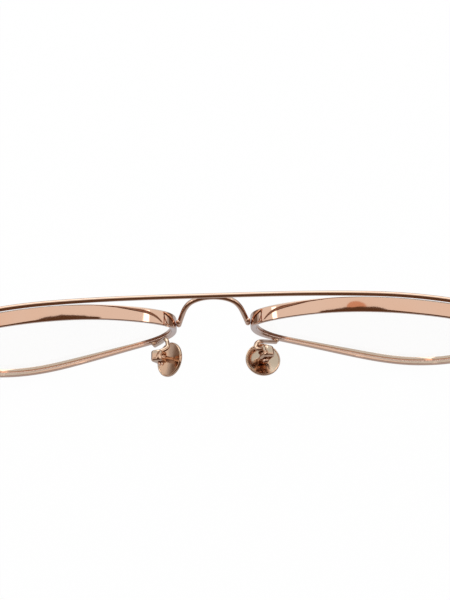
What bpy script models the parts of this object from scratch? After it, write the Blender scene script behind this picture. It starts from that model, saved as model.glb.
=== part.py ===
"""Double-bridge aviator sunglasses in thin polished metal, every piece a separate solid.

The front faces -Y, the temples run back along +Y and the wearer's left is +X. The sunglasses stand
on the lower rims and the ends of the temple tips. Lengths are in metres.
"""

import math

import bmesh
import bpy
import numpy as np
from mathutils import Matrix, Vector

# Clearances
SEAT_GAP = 0.0003           # between pieces that seat on each other
SOLDER_GAP = 0.00015        # thin seam where two pieces are brazed together
LENS_GAP = 0.0002           # between the lens's edge and the rim's groove
PIN_CLEARANCE = 0.0001      # round a screw in its hole

# Lens: its box, its faces and its edge
LENS_WIDTH = 0.0580
LENS_HEIGHT = 0.0485
LENS_SPACING = 0.0187       # between the two lenses at the nose
LENS_THICKNESS = 0.0010
LENS_BEVEL = 0.0006         # from the edge's apex in to the full thickness
LENS_RADIUS = 0.144         # sphere through the middle of the lens
LENS_SETBACK = 0.00115      # middle of the lens behind the middle of the brow bar
FACE_WRAP = math.radians(4.3)
LENS_TOP_DROP = 0.0002      # top of the lens below the middle of the brow bar

# Lens outline seen from the front, as shares of its box, from the closing block over the nose side
LENS_OUTLINE = [
    (0.489, 0.267), (0.456, 0.374), (0.368, 0.467), (0.204, 0.500), (-0.003, 0.497),
    (-0.192, 0.469), (-0.358, 0.398), (-0.483, 0.296), (-0.500, 0.164), (-0.456, -0.072),
    (-0.303, -0.275), (-0.091, -0.434), (0.153, -0.500), (0.351, -0.382), (0.466, -0.114),
]

# Rim (eye wire)
RIM_WALL = 0.0011           # from the inner lips to the outer face
RIM_LIP = 0.00036           # reach of the lips over the lens's edge
RIM_DEPTH_TOP = 0.0034
RIM_DEPTH_BOTTOM = 0.0018
RIM_DEPTH_NOSE = 0.00115    # below the nose, by the feet of the pad arms
RIM_CHAMFER = 0.00015
RIM_SPLIT = 0.0005          # cut through the rim between the closing blocks

# Brow bar and lower bridge
BAR_RADIUS = 0.00056
BAR_BELOW_RIM = 0.0005      # middle of the bar below the rim's outer face
BAR_FREE_SPAN = 0.036       # half of the span between the two rims
BRIDGE_RADIUS = 0.0006
BRIDGE_DROP = 0.0062        # top of the bridge below the brow bar
BRIDGE_FOOT_DROP = 0.0132   # foot of the bridge below the brow bar
BRIDGE_FORWARD = 0.0040     # top of the bridge in front of its feet

# Half of the bridge from top to foot, as shares of its half width, of its reach forwards and of its rise
BRIDGE_LINE = [(0.0, 1.0, 1.0), (0.35, 0.94, 0.98), (0.63, 0.79, 0.85), (0.80, 0.57, 0.62),
               (0.91, 0.29, 0.31), (1.0, 0.0, 0.0)]

# Closing blocks, end piece and rim screw
BLOCK_REACH = 0.0027        # outwards from the rim
BLOCK_DEPTH = 0.0026
BLOCK_HEIGHT = 0.0021
RIM_SCREW_RADIUS = 0.00045
RIM_SCREW_HEAD_RADIUS = 0.00085
RIM_SCREW_HEAD_HEIGHT = 0.0005
RIM_SCREW_INSET = 0.0003    # end of the screw below the top of the block
LUG_THICKNESS = 0.0013
LUG_HEIGHT = 0.0036
LUG_OUTSET = 0.0033         # middle of the lug outside the rim's outer face
LUG_BEND = 0.0024
LUG_RISE = 0.0021           # middle of the lug above the split in the rim
LUG_ROOT = 0.0003           # the lug starts this far into the closing block

# Hinge
HINGE_SETBACK = 0.0063      # hinge axis behind the closing blocks
KNUCKLE_RADIUS = 0.00115
LEAF_THICKNESS = 0.0005
LEAF_LENGTH = 0.0046
LEAF_HEIGHT = 0.0033
KNUCKLE_GAP = 0.0001
HINGE_SCREW_RADIUS = 0.0005
HINGE_SCREW_HEAD_RADIUS = 0.0009
HINGE_SCREW_HEAD_HEIGHT = 0.0004

# Temple shaft
TEMPLE_TO_BEND = 0.092      # along the shaft from the hinge to the ear bend
TEMPLE_SLOPE = math.radians(8.0)
TEMPLE_THICKNESS = 0.0013
SHAFT_HEIGHT = 0.0024       # where it goes into the tip
SHAFT_TAPER = 0.055         # distance over which the shaft comes down to that height
TOE_IN = math.radians(4.5)  # the temples close in by this angle
TOE_IN_START = 0.020
TOE_IN_END = 0.060
EAR_BEND_RADIUS = 0.032
EAR_BEND_ANGLE = math.radians(37.0)

# Temple tip and the core inside it
TIP_START = 0.016           # front end of the tip before the ear bend
TIP_WIDTH = 0.0030
TIP_START_HEIGHT = 0.0036
TIP_HEIGHT = 0.0056
TIP_SWELL = 0.034           # distance over which the tip reaches its full height
CORE_WIDTH = 0.0010
CORE_HEIGHT = 0.0018
CORE_END = 0.012            # end of the core before the end of the tip
CORE_GAP = 0.0002

# Pad arm, pad box and pad screw
PAD_FOOT_DROP = 0.0318      # foot of the arm below the brow bar
PAD_FOOT_RADIUS = 0.0009
PAD_FOOT_THICKNESS = 0.0005
ARM_RADIUS = 0.0005
LEFT_PIVOT_X = 0.0126       # the two arms are bent a little differently
RIGHT_PIVOT_X = 0.0117
PAD_PIVOT_SETBACK = 0.0087  # pad screw behind the brow bar
PAD_PIVOT_DROP = 0.0207
PAD_BOX_TURN = math.radians(32.0)   # back of the box turned outwards from straight up
LEFT_BOX_NOD = math.radians(2.5)    # back of the box leaning forwards
RIGHT_BOX_NOD = math.radians(13.0)
EAR_THICKNESS = 0.00075
EAR_RADIUS = 0.0014
BOX_REACH = 0.0026          # back of the box behind the pad screw
BOX_CORNER = 0.0010         # rounding of the box's back
BOX_WALL = 0.0011           # back wall of the box
ARM_BOW = 0.0002            # how far the wire bows on its way up from the foot
# Bends of each wire on its way to the box: nosewards of the pad screw, forwards of it and above it
LEFT_ARM_BENDS = [(0.0010, 0.0047, -0.0013), (0.0016, 0.0036, -0.0002), (0.0014, 0.0020, 0.0008)]
RIGHT_ARM_BENDS = [(0.0010, 0.0034, -0.0009), (0.0019, 0.0026, 0.0000), (0.0017, 0.0013, 0.0008)]
PAD_SCREW_RADIUS = 0.00040
PAD_SCREW_HEAD_RADIUS = 0.00075
PAD_SCREW_HEAD_HEIGHT = 0.0005

# Nose pad
PAD_RADIUS = 0.0041
PAD_FACE_RADIUS = 0.0036
PAD_FACE_REACH = 0.0033     # contact face from the pad screw
PAD_FLOOR = 0.0005          # thickness of the dish
PAD_LIP = 0.00045           # raised edge above the dish
PAD_LIP_WIDTH = 0.0004
TAB_THICKNESS = 0.0008
TAB_RADIUS = 0.00095
LEFT_PAD_SWING = math.radians(14.5)     # how far each pad is swung round its screw
RIGHT_PAD_SWING = math.radians(-22.0)

# Fineness of the facets
RIM_STEPS = 64
ROUND_SIDES = 16
HOLE_SIDES = 24
WIRE_SIDES = 10
TEMPLE_STEPS = 22
TIP_STEPS = 20

# Colours as the polished metal, the clear lens and the plastic show them
ROSE_GOLD = (0.73, 0.45, 0.34)
LENS_TINT = (0.96, 0.90, 0.88)
TIP_BROWN = (0.20, 0.09, 0.05)

# Sizes worked out from those above
RIM_OUTER = RIM_WALL - RIM_LIP
LENS_SAG = LENS_RADIUS - math.sqrt(LENS_RADIUS ** 2 - (LENS_WIDTH / 2) ** 2)
LENS_CENTRE_X = (LENS_SPACING / 2 + LENS_WIDTH / 2 * math.cos(FACE_WRAP)
                 + LENS_SAG * math.sin(FACE_WRAP))
LENS_CENTRE = Vector((LENS_CENTRE_X, LENS_SETBACK, -LENS_TOP_DROP - LENS_HEIGHT / 2))


def material(name, colour, roughness, metallic, alpha=1.0):
    """A plain Principled material."""
    result = bpy.data.materials.new(name)
    result.use_nodes = True
    shader = result.node_tree.nodes["Principled BSDF"]
    shader.inputs["Base Color"].default_value = (*colour, 1.0)
    shader.inputs["Roughness"].default_value = roughness
    shader.inputs["Metallic"].default_value = metallic
    shader.inputs["Alpha"].default_value = alpha
    return result


def metal(name):
    """Polished rose-gold plated metal."""
    return material(name + "_metal", ROSE_GOLD, 0.12, 1.0)


def add_object(name, bm, finish=None, parent=None):
    """An object from a bmesh whose points are in world space; its origin is its parent's."""
    bmesh.ops.recalc_face_normals(bm, faces=bm.faces)
    mesh = bpy.data.meshes.new(name)
    bm.to_mesh(mesh)
    bm.free()
    mesh.shade_smooth()
    mesh.set_sharp_from_angle(angle=math.radians(35.0))
    result = bpy.data.objects.new(name, mesh)
    bpy.context.collection.objects.link(result)
    if finish:
        mesh.materials.append(finish)
    if parent:
        mesh.transform(Matrix.Translation(-parent.location))
        result.parent = parent
    return result


def add_cutter(name, bm, parent=None):
    """A hidden shape for a Boolean."""
    result = add_object(name, bm, None, parent)
    result.hide_render = True
    result.display_type = "WIRE"
    return result


def add_boolean(target, tool, operation):
    """Cut the tool out of the target, or join it on."""
    modifier = target.modifiers.new(operation.title() + "_" + tool.name, "BOOLEAN")
    modifier.operation = operation
    modifier.object = tool
    modifier.solver = "EXACT"


def loft(bm, rings):
    """Skin through rings of equally many points, with flat ends."""
    loops = [[bm.verts.new(point) for point in ring] for ring in rings]
    bm.faces.new(loops[0])
    bm.faces.new(reversed(loops[-1]))
    for near, far in zip(loops, loops[1:]):
        for index in range(len(near)):
            after = (index + 1) % len(near)
            bm.faces.new((near[index], far[index], far[after], near[after]))


def cylinder(centre, axis, radius, length, sides=ROUND_SIDES):
    """A round rod with its middle at centre."""
    bm = bmesh.new()
    turn = Vector((0, 0, 1)).rotation_difference(Vector(axis)).to_matrix().to_4x4()
    bmesh.ops.create_cone(bm, cap_ends=True, segments=sides, radius1=radius, radius2=radius,
                          depth=length, matrix=Matrix.Translation(centre) @ turn)
    return bm


def box(low, high):
    """A block between two corners."""
    bm = bmesh.new()
    low = Vector(low)
    high = Vector(high)
    size = Matrix.Diagonal((*(high - low), 1.0))
    bmesh.ops.create_cube(bm, size=1.0, matrix=Matrix.Translation((low + high) / 2) @ size)
    return bm


def extrude_outline(points, offset):
    """A prism from a flat outline."""
    bm = bmesh.new()
    loft(bm, [points, [point + offset for point in points]])
    return bm


def turned(profile, centre, axis, side_axis, sides=ROUND_SIDES):
    """A turned solid; the profile holds (radius, height) pairs from end to end."""
    axis = Vector(axis).normalized()
    across = Vector(side_axis).normalized()
    other = axis.cross(across)
    rings = []
    for radius, height in profile:
        middle = centre + axis * height
        angles = [math.tau * index / sides for index in range(sides)]
        rings.append([middle + (across * math.cos(a) + other * math.sin(a)) * radius for a in angles])
    bm = bmesh.new()
    loft(bm, rings)
    return bm


def tube(path, radius, sides=WIRE_SIDES):
    """A round wire along a path of points, with its ends square."""
    rings = []
    across = None
    for index, point in enumerate(path):
        before = path[max(index - 1, 0)]
        after = path[min(index + 1, len(path) - 1)]
        forward = (after - before).normalized()
        if across is None:
            across = forward.orthogonal().normalized()
        across = (across - forward * across.dot(forward)).normalized()
        other = forward.cross(across)
        angles = [math.tau * side / sides for side in range(sides)]
        rings.append([point + (across * math.cos(a) + other * math.sin(a)) * radius for a in angles])
    bm = bmesh.new()
    loft(bm, rings)
    return bm


def cut_corners(width, height, corner):
    """A rectangle round the origin with its corners cut off."""
    x = width / 2
    z = height / 2
    cut = min(corner, x * 0.8, z * 0.8)
    return [(x, cut - z), (x, z - cut), (x - cut, z), (cut - x, z),
            (-x, z - cut), (-x, cut - z), (cut - x, -z), (x - cut, -z)]


def smooth_step(value, low, high):
    """0 below low, 1 above high, and an even curve between."""
    share = min(max((value - low) / (high - low), 0.0), 1.0)
    return share * share * (3 - 2 * share)


def closed_spline(points, per_span=24):
    """Close points along the smooth closed curve through the given points."""
    knots = np.array(points, float)
    count = len(knots)
    steps = np.linalg.norm(np.roll(knots, -1, axis=0) - knots, axis=1)
    matrix = np.zeros((count, count))
    right = np.zeros((count, 2))
    for i in range(count):
        before = steps[i - 1]
        after = steps[i]
        following = (i + 1) % count
        matrix[i, i - 1] = before
        matrix[i, i] = 2 * (before + after)
        matrix[i, following] = after
        right[i] = 6 * ((knots[following] - knots[i]) / after - (knots[i] - knots[i - 1]) / before)
    bend = np.linalg.solve(matrix, right)
    result = []
    for i in range(count):
        following = (i + 1) % count
        step = steps[i]
        for share in np.arange(per_span) / per_span:
            near = step * (1 - share)
            far = step * share
            result.append((bend[i] * near ** 3 + bend[following] * far ** 3) / (6 * step)
                          + (knots[i] / step - bend[i] * step / 6) * near
                          + (knots[following] / step - bend[following] * step / 6) * far)
    return np.array(result)


def open_spline(points, count):
    """Evenly spaced points on a smooth open curve through the given points."""
    knots = np.array(points, float)
    padded = np.vstack([2 * knots[0] - knots[1], knots, 2 * knots[-1] - knots[-2]])
    fine = []
    for i in range(1, len(padded) - 2):
        before, start, end, after = padded[i - 1:i + 3]
        for share in np.arange(20) / 20:
            fine.append(0.5 * (2 * start + (end - before) * share
                               + (2 * before - 5 * start + 4 * end - after) * share ** 2
                               + (3 * start - before - 3 * end + after) * share ** 3))
    fine.append(knots[-1])
    fine = np.array(fine)
    lengths = np.concatenate([[0.0], np.cumsum(np.linalg.norm(np.diff(fine, axis=0), axis=1))])
    wanted = np.linspace(0.0, lengths[-1], count)
    return [Vector([np.interp(at, lengths, fine[:, axis]) for axis in range(3)]) for at in wanted]


class Outline:
    """The lens's outline, in metres from the middle of its box."""

    def __init__(self):
        box_size = np.array([LENS_WIDTH, LENS_HEIGHT])
        self.points = closed_spline(np.array(LENS_OUTLINE) * box_size)
        closed = np.vstack([self.points, self.points[:1]])
        spans = np.diff(closed, axis=0)
        lengths = np.linalg.norm(spans, axis=1)
        headings = np.unwrap(np.arctan2(spans[:, 1], spans[:, 0]))
        turning = np.abs(np.diff(np.concatenate([headings, [headings[0] + math.tau]])))
        self.length = lengths.sum()
        self.at = np.concatenate([[0.0], np.cumsum(lengths)])
        # Stations lie closer where the outline turns more
        weight = np.concatenate([[0.0], np.cumsum(lengths / self.length + turning / math.tau)])
        self.weight = weight / weight[-1]
        self.closed = closed

    def point(self, distance):
        """Place on the outline at a distance from the closing block."""
        distance = distance % self.length
        return np.array([np.interp(distance, self.at, self.closed[:, axis]) for axis in range(2)])

    def outward(self, distance):
        """Unit vector square to the outline, pointing away from the lens."""
        step = self.length / 2000
        along = self.point(distance + step) - self.point(distance - step)
        along = along / np.linalg.norm(along)
        return np.array([along[1], -along[0]])

    def stations(self, start, end, count):
        """Distances from start to end, closer together in the corners."""
        ends = np.interp([start, end], self.at, self.weight)
        wanted = np.linspace(ends[0], ends[1], count)
        result = np.interp(wanted, self.weight, self.at)
        result[0] = start
        result[-1] = end
        return result

    def nose_side_at(self, height):
        """Distance at which the nose side of the outline passes a height above the box's middle."""
        half = slice(len(self.points) // 2, len(self.points) * 4 // 5)
        heights = self.closed[half, 1]
        places = self.at[half]
        order = np.argsort(heights)
        return float(np.interp(height, heights[order], places[order]))


OUTLINE = Outline()


def on_front(side, across, up, forward):
    """World point over a place in the lens's box, lifted forwards off the lens's middle sphere."""
    inward = math.sqrt(LENS_RADIUS ** 2 - across ** 2 - up ** 2)
    scale = (LENS_RADIUS + forward) / LENS_RADIUS
    local = Vector((across * scale, LENS_RADIUS - inward * scale, up * scale))
    local.rotate(Matrix.Rotation(FACE_WRAP, 3, "Z"))
    place = LENS_CENTRE + local
    return Vector((place.x * side, place.y, place.z))


def beside_outline(side, distance, outward, forward):
    """World point at an offset outwards and forwards from the lens's edge."""
    place = OUTLINE.point(distance) + OUTLINE.outward(distance) * outward
    return on_front(side, place[0], place[1], forward)


def rim_depth(distance):
    """The rim is deepest along its top and tapers to its lower part, most of all beside the nose."""
    across, up = OUTLINE.point(distance) / np.array([LENS_WIDTH, LENS_HEIGHT])
    lower = RIM_DEPTH_NOSE + (RIM_DEPTH_BOTTOM - RIM_DEPTH_NOSE) * smooth_step(across, -0.42, 0.03)
    return lower + (RIM_DEPTH_TOP - lower) * smooth_step(up, -0.25, 0.42)


def rim_face(distance, forward):
    """The rim's outer face off the lens's edge; it runs straight back and doesn't lean with the lens."""
    lean = OUTLINE.point(distance) @ OUTLINE.outward(distance) / LENS_RADIUS
    return RIM_OUTER - lean * forward


def rim_section(distance):
    """The rim's section as (outwards, forwards): a band with a V groove for the lens's edge."""
    half = rim_depth(distance) / 2
    mouth = LENS_THICKNESS / 2 * (1 - RIM_LIP / LENS_BEVEL) + LENS_GAP
    front = rim_face(distance, half)
    back = rim_face(distance, -half)
    return [
        (rim_face(distance, half - RIM_CHAMFER), half - RIM_CHAMFER), (front - RIM_CHAMFER, half),
        (-RIM_LIP, half), (-RIM_LIP, mouth), (LENS_GAP, 0.0), (-RIM_LIP, -mouth), (-RIM_LIP, -half),
        (back - RIM_CHAMFER, -half), (rim_face(distance, RIM_CHAMFER - half), RIM_CHAMFER - half),
    ]


def make_rim(name, side):
    """The eye wire: a grooved band round the lens, split at the closing blocks."""
    rings = []
    for distance in OUTLINE.stations(RIM_SPLIT / 2, OUTLINE.length - RIM_SPLIT / 2, RIM_STEPS):
        rings.append([beside_outline(side, distance, *pair) for pair in rim_section(distance)])
    bm = bmesh.new()
    loft(bm, rings)
    return add_object(name, bm, metal(name))


def make_lens(name, side):
    """A curved lens whose edge is ground to a bevel that seats in the rim's groove."""
    distances = OUTLINE.stations(0.0, OUTLINE.length, RIM_STEPS)[:-1]
    half = LENS_THICKNESS / 2
    shrink = (0.68, 0.34)
    rings = []
    for share in reversed(shrink):
        rings.append([on_front(side, *(OUTLINE.point(at) * share), half) for at in distances])
    rings.append([beside_outline(side, at, -LENS_BEVEL, half) for at in distances])
    rings.append([beside_outline(side, at, 0.0, 0.0) for at in distances])
    rings.append([beside_outline(side, at, -LENS_BEVEL, -half) for at in distances])
    for share in shrink:
        rings.append([on_front(side, *(OUTLINE.point(at) * share), -half) for at in distances])
    bm = bmesh.new()
    loft(bm, rings)
    ends = [face for face in bm.faces if len(face.verts) > 4]
    for end, forward in zip(ends, (half, -half)):
        centre = bmesh.ops.poke(bm, faces=[end])["verts"][0]
        centre.co = on_front(side, 0.0, 0.0, forward)
    glass = material(name + "_glass", LENS_TINT, 0.03, 0.0, 0.3)
    return add_object(name, bm, glass)


def bar_seat(side, distance):
    """Middle of the brow bar where it lies along the front of a rim."""
    forward = rim_depth(distance) / 2 + SOLDER_GAP + BAR_RADIUS
    return beside_outline(side, distance, RIM_OUTER - BAR_BELOW_RIM, forward)


def bar_distances():
    """Where the bar lies on the rim: from the block above the hinge to its free span."""
    start = RIM_SPLIT / 2 + BLOCK_HEIGHT + SEAT_GAP * 2
    distances = [start]
    step = LENS_WIDTH / 40
    while bar_seat(1, distances[-1] + step).x > BAR_FREE_SPAN:
        distances.append(distances[-1] + step)
    return distances


def make_brow_bar():
    """A straight wire across the nose that goes on along both rims to the end pieces."""
    seat = [bar_seat(1, distance) for distance in bar_distances()]
    last = seat[-1]
    slope = (seat[-2].y - last.y) / (seat[-2].x - last.x)
    fall = (seat[-2].z - last.z) / (seat[-2].x - last.x)
    half = []
    free_steps = 7
    for index in range(1, free_steps + 1):
        share = 1 - index / free_steps
        rise = share ** 2 * (3 - 2 * share)
        lean = (share ** 3 - share ** 2) * last.x
        half.append(Vector((last.x * share, last.y * rise + slope * lean, last.z * rise + fall * lean)))
    left = seat + half
    right = [Vector((-point.x, point.y, point.z)) for point in reversed(left[:-1])]
    return add_object("brow_bar", tube(left + right, BAR_RADIUS), metal("brow_bar"))


def make_nose_bridge():
    """The lower bridge: an arch that rises forwards from the nose sides of the rims."""
    height = -BRIDGE_FOOT_DROP - LENS_CENTRE.z
    distance = OUTLINE.nose_side_at(height)
    outward = rim_face(distance, -BRIDGE_RADIUS) + SOLDER_GAP + BRIDGE_RADIUS
    foot = beside_outline(1, distance, outward, 0.0)
    reach = Vector((foot.x, -BRIDGE_FORWARD, BRIDGE_FOOT_DROP - BRIDGE_DROP))
    line = []
    for across, ahead, up in reversed(BRIDGE_LINE):
        line.append(Vector((0, foot.y, foot.z)) + reach * Vector((across, ahead, up)))
    line += [Vector((-point.x, point.y, point.z)) for point in reversed(line[:-1])]
    return add_object("nose_bridge", tube(open_spline(line, 27), BRIDGE_RADIUS), metal("nose_bridge"))


def split_frame(side):
    """Middle of the rim screw at the split, with its direction and the one away from the rim."""
    reach = RIM_OUTER + SOLDER_GAP + BLOCK_REACH / 2
    centre = beside_outline(side, 0.0, reach, 0.0)
    up = (beside_outline(side, BLOCK_HEIGHT, reach, 0.0) - centre).normalized()
    outward = (beside_outline(side, 0.0, reach + BLOCK_REACH, 0.0) - centre).normalized()
    return centre, up, outward


def block_mesh(side, start, end):
    """A closing block that follows the rim's outer face between two distances."""
    outer = RIM_OUTER + SOLDER_GAP + BLOCK_REACH
    half = BLOCK_DEPTH / 2
    corner = min(BLOCK_DEPTH, BLOCK_REACH) / 5
    section = [
        (rim_face(start, -half) + SOLDER_GAP, -half), (outer - corner, -half), (outer, corner - half),
        (outer, half - corner), (outer - corner, half), (rim_face(start, half) + SOLDER_GAP, half),
    ]
    steps = 4
    rings = []
    for index in range(steps):
        distance = start + (end - start) * index / (steps - 1)
        rings.append([beside_outline(side, distance, *pair) for pair in section])
    bm = bmesh.new()
    loft(bm, rings)
    return bm


def lug_place(side):
    """Middle of the lug's straight part, at the height of the hinge."""
    centre = split_frame(side)[0]
    face = beside_outline(side, 0.0, RIM_OUTER, 0.0)
    return Vector((face.x + side * LUG_OUTSET, centre.y, centre.z + LUG_RISE))


def hinge_axis(side):
    """Point on the hinge's axis at the middle of the knuckles."""
    place = lug_place(side)
    inset = TEMPLE_THICKNESS / 2 + SOLDER_GAP + KNUCKLE_RADIUS
    return Vector((place.x - side * inset, place.y + HINGE_SETBACK, place.z))


def make_end_piece(name, side):
    """The upper closing block with the lug that bends back to the hinge, as one piece."""
    start = RIM_SPLIT / 2
    upper = add_object(name, block_mesh(side, start, start + BLOCK_HEIGHT), metal(name))
    place = lug_place(side)
    axis = hinge_axis(side)
    inner_x = place.x - side * (LUG_OUTSET - SOLDER_GAP - LUG_ROOT)
    path = [(Vector((inner_x, place.y, place.z)), Vector((0, 1, 0)))]
    bend = Vector((place.x - side * LUG_BEND, place.y + LUG_BEND, place.z))
    steps = 6
    for index in range(steps + 1):
        turn = math.pi / 2 * index / steps
        away = Vector((side * math.sin(turn), -math.cos(turn), 0))
        path.append((bend + away * LUG_BEND, -away))
    path.append((Vector((place.x, axis.y - SEAT_GAP / 2, place.z)), Vector((-side, 0, 0))))
    rings = []
    for point, inward in path:
        shape = cut_corners(LUG_THICKNESS, LUG_HEIGHT, LUG_THICKNESS / 5)
        rings.append([point + inward * across + Vector((0, 0, up)) for across, up in shape])
    bm = bmesh.new()
    loft(bm, rings)
    add_boolean(upper, add_cutter(name + "_lug", bm), "UNION")
    centre, up = split_frame(side)[:2]
    radius = RIM_SCREW_RADIUS + PIN_CLEARANCE
    depth = RIM_SPLIT + 2 * (BLOCK_HEIGHT - RIM_SCREW_INSET)
    hole = cylinder(centre, up, radius, depth, HOLE_SIDES)
    add_boolean(upper, add_cutter(name + "_hole", hole), "DIFFERENCE")
    return upper


def make_closing_block(name, side):
    """The lower closing block, which the rim screw draws up to the end piece."""
    end = OUTLINE.length - RIM_SPLIT / 2
    block = add_object(name, block_mesh(side, end, end - BLOCK_HEIGHT), metal(name))
    centre, up = split_frame(side)[:2]
    hole = cylinder(centre, up, RIM_SCREW_RADIUS + PIN_CLEARANCE, 4 * BLOCK_HEIGHT, HOLE_SIDES)
    add_boolean(block, add_cutter(name + "_hole", hole), "DIFFERENCE")
    return block


def make_rim_screw(name, side):
    """The screw that closes the rim, put in from below."""
    centre, up, outward = split_frame(side)
    reach = RIM_OUTER + SOLDER_GAP + BLOCK_REACH / 2 + RIM_SCREW_HEAD_RADIUS
    under = beside_outline(side, -RIM_SPLIT / 2 - BLOCK_HEIGHT, reach, 0.0)
    below = (centre - under).dot(up) + PIN_CLEARANCE
    above = RIM_SPLIT / 2 + BLOCK_HEIGHT - RIM_SCREW_INSET - SEAT_GAP
    head = -below - RIM_SCREW_HEAD_HEIGHT
    profile = [
        (RIM_SCREW_HEAD_RADIUS * 0.75, head), (RIM_SCREW_HEAD_RADIUS, head + RIM_SCREW_HEAD_HEIGHT / 3),
        (RIM_SCREW_HEAD_RADIUS, -below), (RIM_SCREW_RADIUS, -below), (RIM_SCREW_RADIUS, above),
    ]
    return add_object(name, turned(profile, centre, up, outward), metal(name))


def leaf_outline(axis, side, back):
    """Outline of a hinge leaf seen from above: a plate with a knuckle round the axis."""
    radius = KNUCKLE_RADIUS
    flat = radius - LEAF_THICKNESS
    start = math.acos(flat / radius)
    points = [Vector((radius, LEAF_LENGTH)), Vector((flat, LEAF_LENGTH))]
    steps = 14
    for index in range(steps + 1):
        turn = start + (math.tau - start) * index / steps
        points.append(Vector((radius * math.cos(turn), radius * math.sin(turn))))
    return [axis + Vector((side * x, back * y, 0)) for x, y in points]


def make_leaf(name, side, back, parent=None):
    """A hinge leaf: the front one keeps the outer knuckles, the temple's the middle one."""
    axis = hinge_axis(side)
    low = Vector((0, 0, -LEAF_HEIGHT / 2))
    outline = [point + low for point in leaf_outline(axis, side, back)]
    leaf = add_object(name, extrude_outline(outline, -2 * low), metal(name), parent)
    knuckle = LEAF_HEIGHT / 3
    reach = KNUCKLE_RADIUS + SEAT_GAP
    wide = (knuckle + KNUCKLE_GAP) / 2
    narrow = (knuckle - KNUCKLE_GAP) / 2
    if back < 0:
        bands = [(-wide, wide)]
    else:
        bands = [(-LEAF_HEIGHT, -narrow), (narrow, LEAF_HEIGHT)]
    for number, (bottom, top) in enumerate(bands):
        low_corner = axis + Vector((-reach, -reach, bottom))
        high_corner = axis + Vector((reach, reach, top))
        notch = add_cutter(name + "_notch" + str(number), box(low_corner, high_corner), parent)
        add_boolean(leaf, notch, "DIFFERENCE")
    radius = HINGE_SCREW_RADIUS + PIN_CLEARANCE
    hole = cylinder(axis, (0, 0, 1), radius, LEAF_HEIGHT * 2, HOLE_SIDES)
    add_boolean(leaf, add_cutter(name + "_hole", hole, parent), "DIFFERENCE")
    return leaf


def make_hinge_screw(name, side):
    """The hinge's screw, put in from above."""
    axis = hinge_axis(side)
    top = LEAF_HEIGHT / 2 + PIN_CLEARANCE
    head = top + HINGE_SCREW_HEAD_HEIGHT
    profile = [
        (HINGE_SCREW_RADIUS, -LEAF_HEIGHT / 2), (HINGE_SCREW_RADIUS, top),
        (HINGE_SCREW_HEAD_RADIUS, top), (HINGE_SCREW_HEAD_RADIUS, head - HINGE_SCREW_HEAD_HEIGHT / 3),
        (HINGE_SCREW_HEAD_RADIUS * 0.75, head),
    ]
    return add_object(name, turned(profile, axis, (0, 0, 1), (1, 0, 0)), metal(name))


class TemplePath:
    """The middle line of a temple, from the hinge back over the ear."""

    def __init__(self, side):
        self.side = side
        start = lug_place(side)
        start.y = hinge_axis(side).y + SEAT_GAP / 2
        self.bend_end = TEMPLE_TO_BEND + EAR_BEND_RADIUS * EAR_BEND_ANGLE
        self.step = 0.0005
        self.points = [start]
        length = TEMPLE_TO_BEND * 2
        for index in range(int(length / self.step)):
            forward, across, up = self.axes((index + 0.5) * self.step)
            self.points.append(self.points[-1] + forward * self.step)
        ground = -LENS_TOP_DROP - LENS_HEIGHT - RIM_OUTER
        above = self.point(self.bend_end).z - ground - TIP_HEIGHT / 2
        self.end = self.bend_end + above / math.sin(TEMPLE_SLOPE + EAR_BEND_ANGLE) + TIP_HEIGHT / 2

    def axes(self, distance):
        """Directions forwards, across and up at a distance along the temple."""
        toe = TOE_IN * smooth_step(distance, TOE_IN_START, TOE_IN_END)
        share = min(max((distance - TEMPLE_TO_BEND) / (self.bend_end - TEMPLE_TO_BEND), 0.0), 1.0)
        slope = TEMPLE_SLOPE + EAR_BEND_ANGLE * share
        level = Vector((-self.side * math.sin(toe), math.cos(toe), 0))
        across = Vector((self.side * math.cos(toe), math.sin(toe), 0))
        forward = level * math.cos(slope) - Vector((0, 0, math.sin(slope)))
        # The butt stands upright at the hinge and the sections turn square further back
        lean = slope - TEMPLE_SLOPE * (1 - smooth_step(distance, 0.0, TOE_IN_START))
        up = level * math.sin(lean) + Vector((0, 0, math.cos(lean)))
        return forward, across, up

    def point(self, distance):
        """Middle of the temple at a distance from the hinge."""
        place = distance / self.step
        index = min(max(int(place), 0), len(self.points) - 2)
        return self.points[index].lerp(self.points[index + 1], place - index)

    def ring(self, distance, width, height, corner):
        """A rectangular section with cut corners."""
        across, up = self.axes(distance)[1:]
        middle = self.point(distance)
        return [middle + across * a + up * b for a, b in cut_corners(width, height, corner)]


def make_temple(name, side, parent):
    """The metal shaft, tapering back, and its core inside the tip."""
    path = TemplePath(side)
    tip_start = TEMPLE_TO_BEND - TIP_START
    corner = TEMPLE_THICKNESS / 5
    rings = []
    for index in range(TEMPLE_STEPS):
        distance = (tip_start - SEAT_GAP) * index / (TEMPLE_STEPS - 1)
        share = smooth_step(distance, 0.0, SHAFT_TAPER)
        height = LUG_HEIGHT + (SHAFT_HEIGHT - LUG_HEIGHT) * share
        rings.append(path.ring(distance, TEMPLE_THICKNESS, height, corner))
    core_steps = 12
    core_end = path.end - CORE_END
    for index in range(core_steps):
        distance = tip_start - SEAT_GAP + (core_end - tip_start) * index / (core_steps - 1)
        rings.append(path.ring(distance, CORE_WIDTH, CORE_HEIGHT, corner))
    bm = bmesh.new()
    loft(bm, rings)
    return add_object(name, bm, metal(name), parent)


def tip_height(distance, start, end):
    """Height of the tip: it swells from its front end and closes in a half round."""
    share = smooth_step(distance, start, start + TIP_SWELL)
    height = TIP_START_HEIGHT + (TIP_HEIGHT - TIP_START_HEIGHT) * share
    past = distance - (end - TIP_HEIGHT / 2)
    if past > 0:
        height *= math.sqrt(max(1 - (past / (TIP_HEIGHT / 2)) ** 2, 0.0))
    return height


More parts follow.
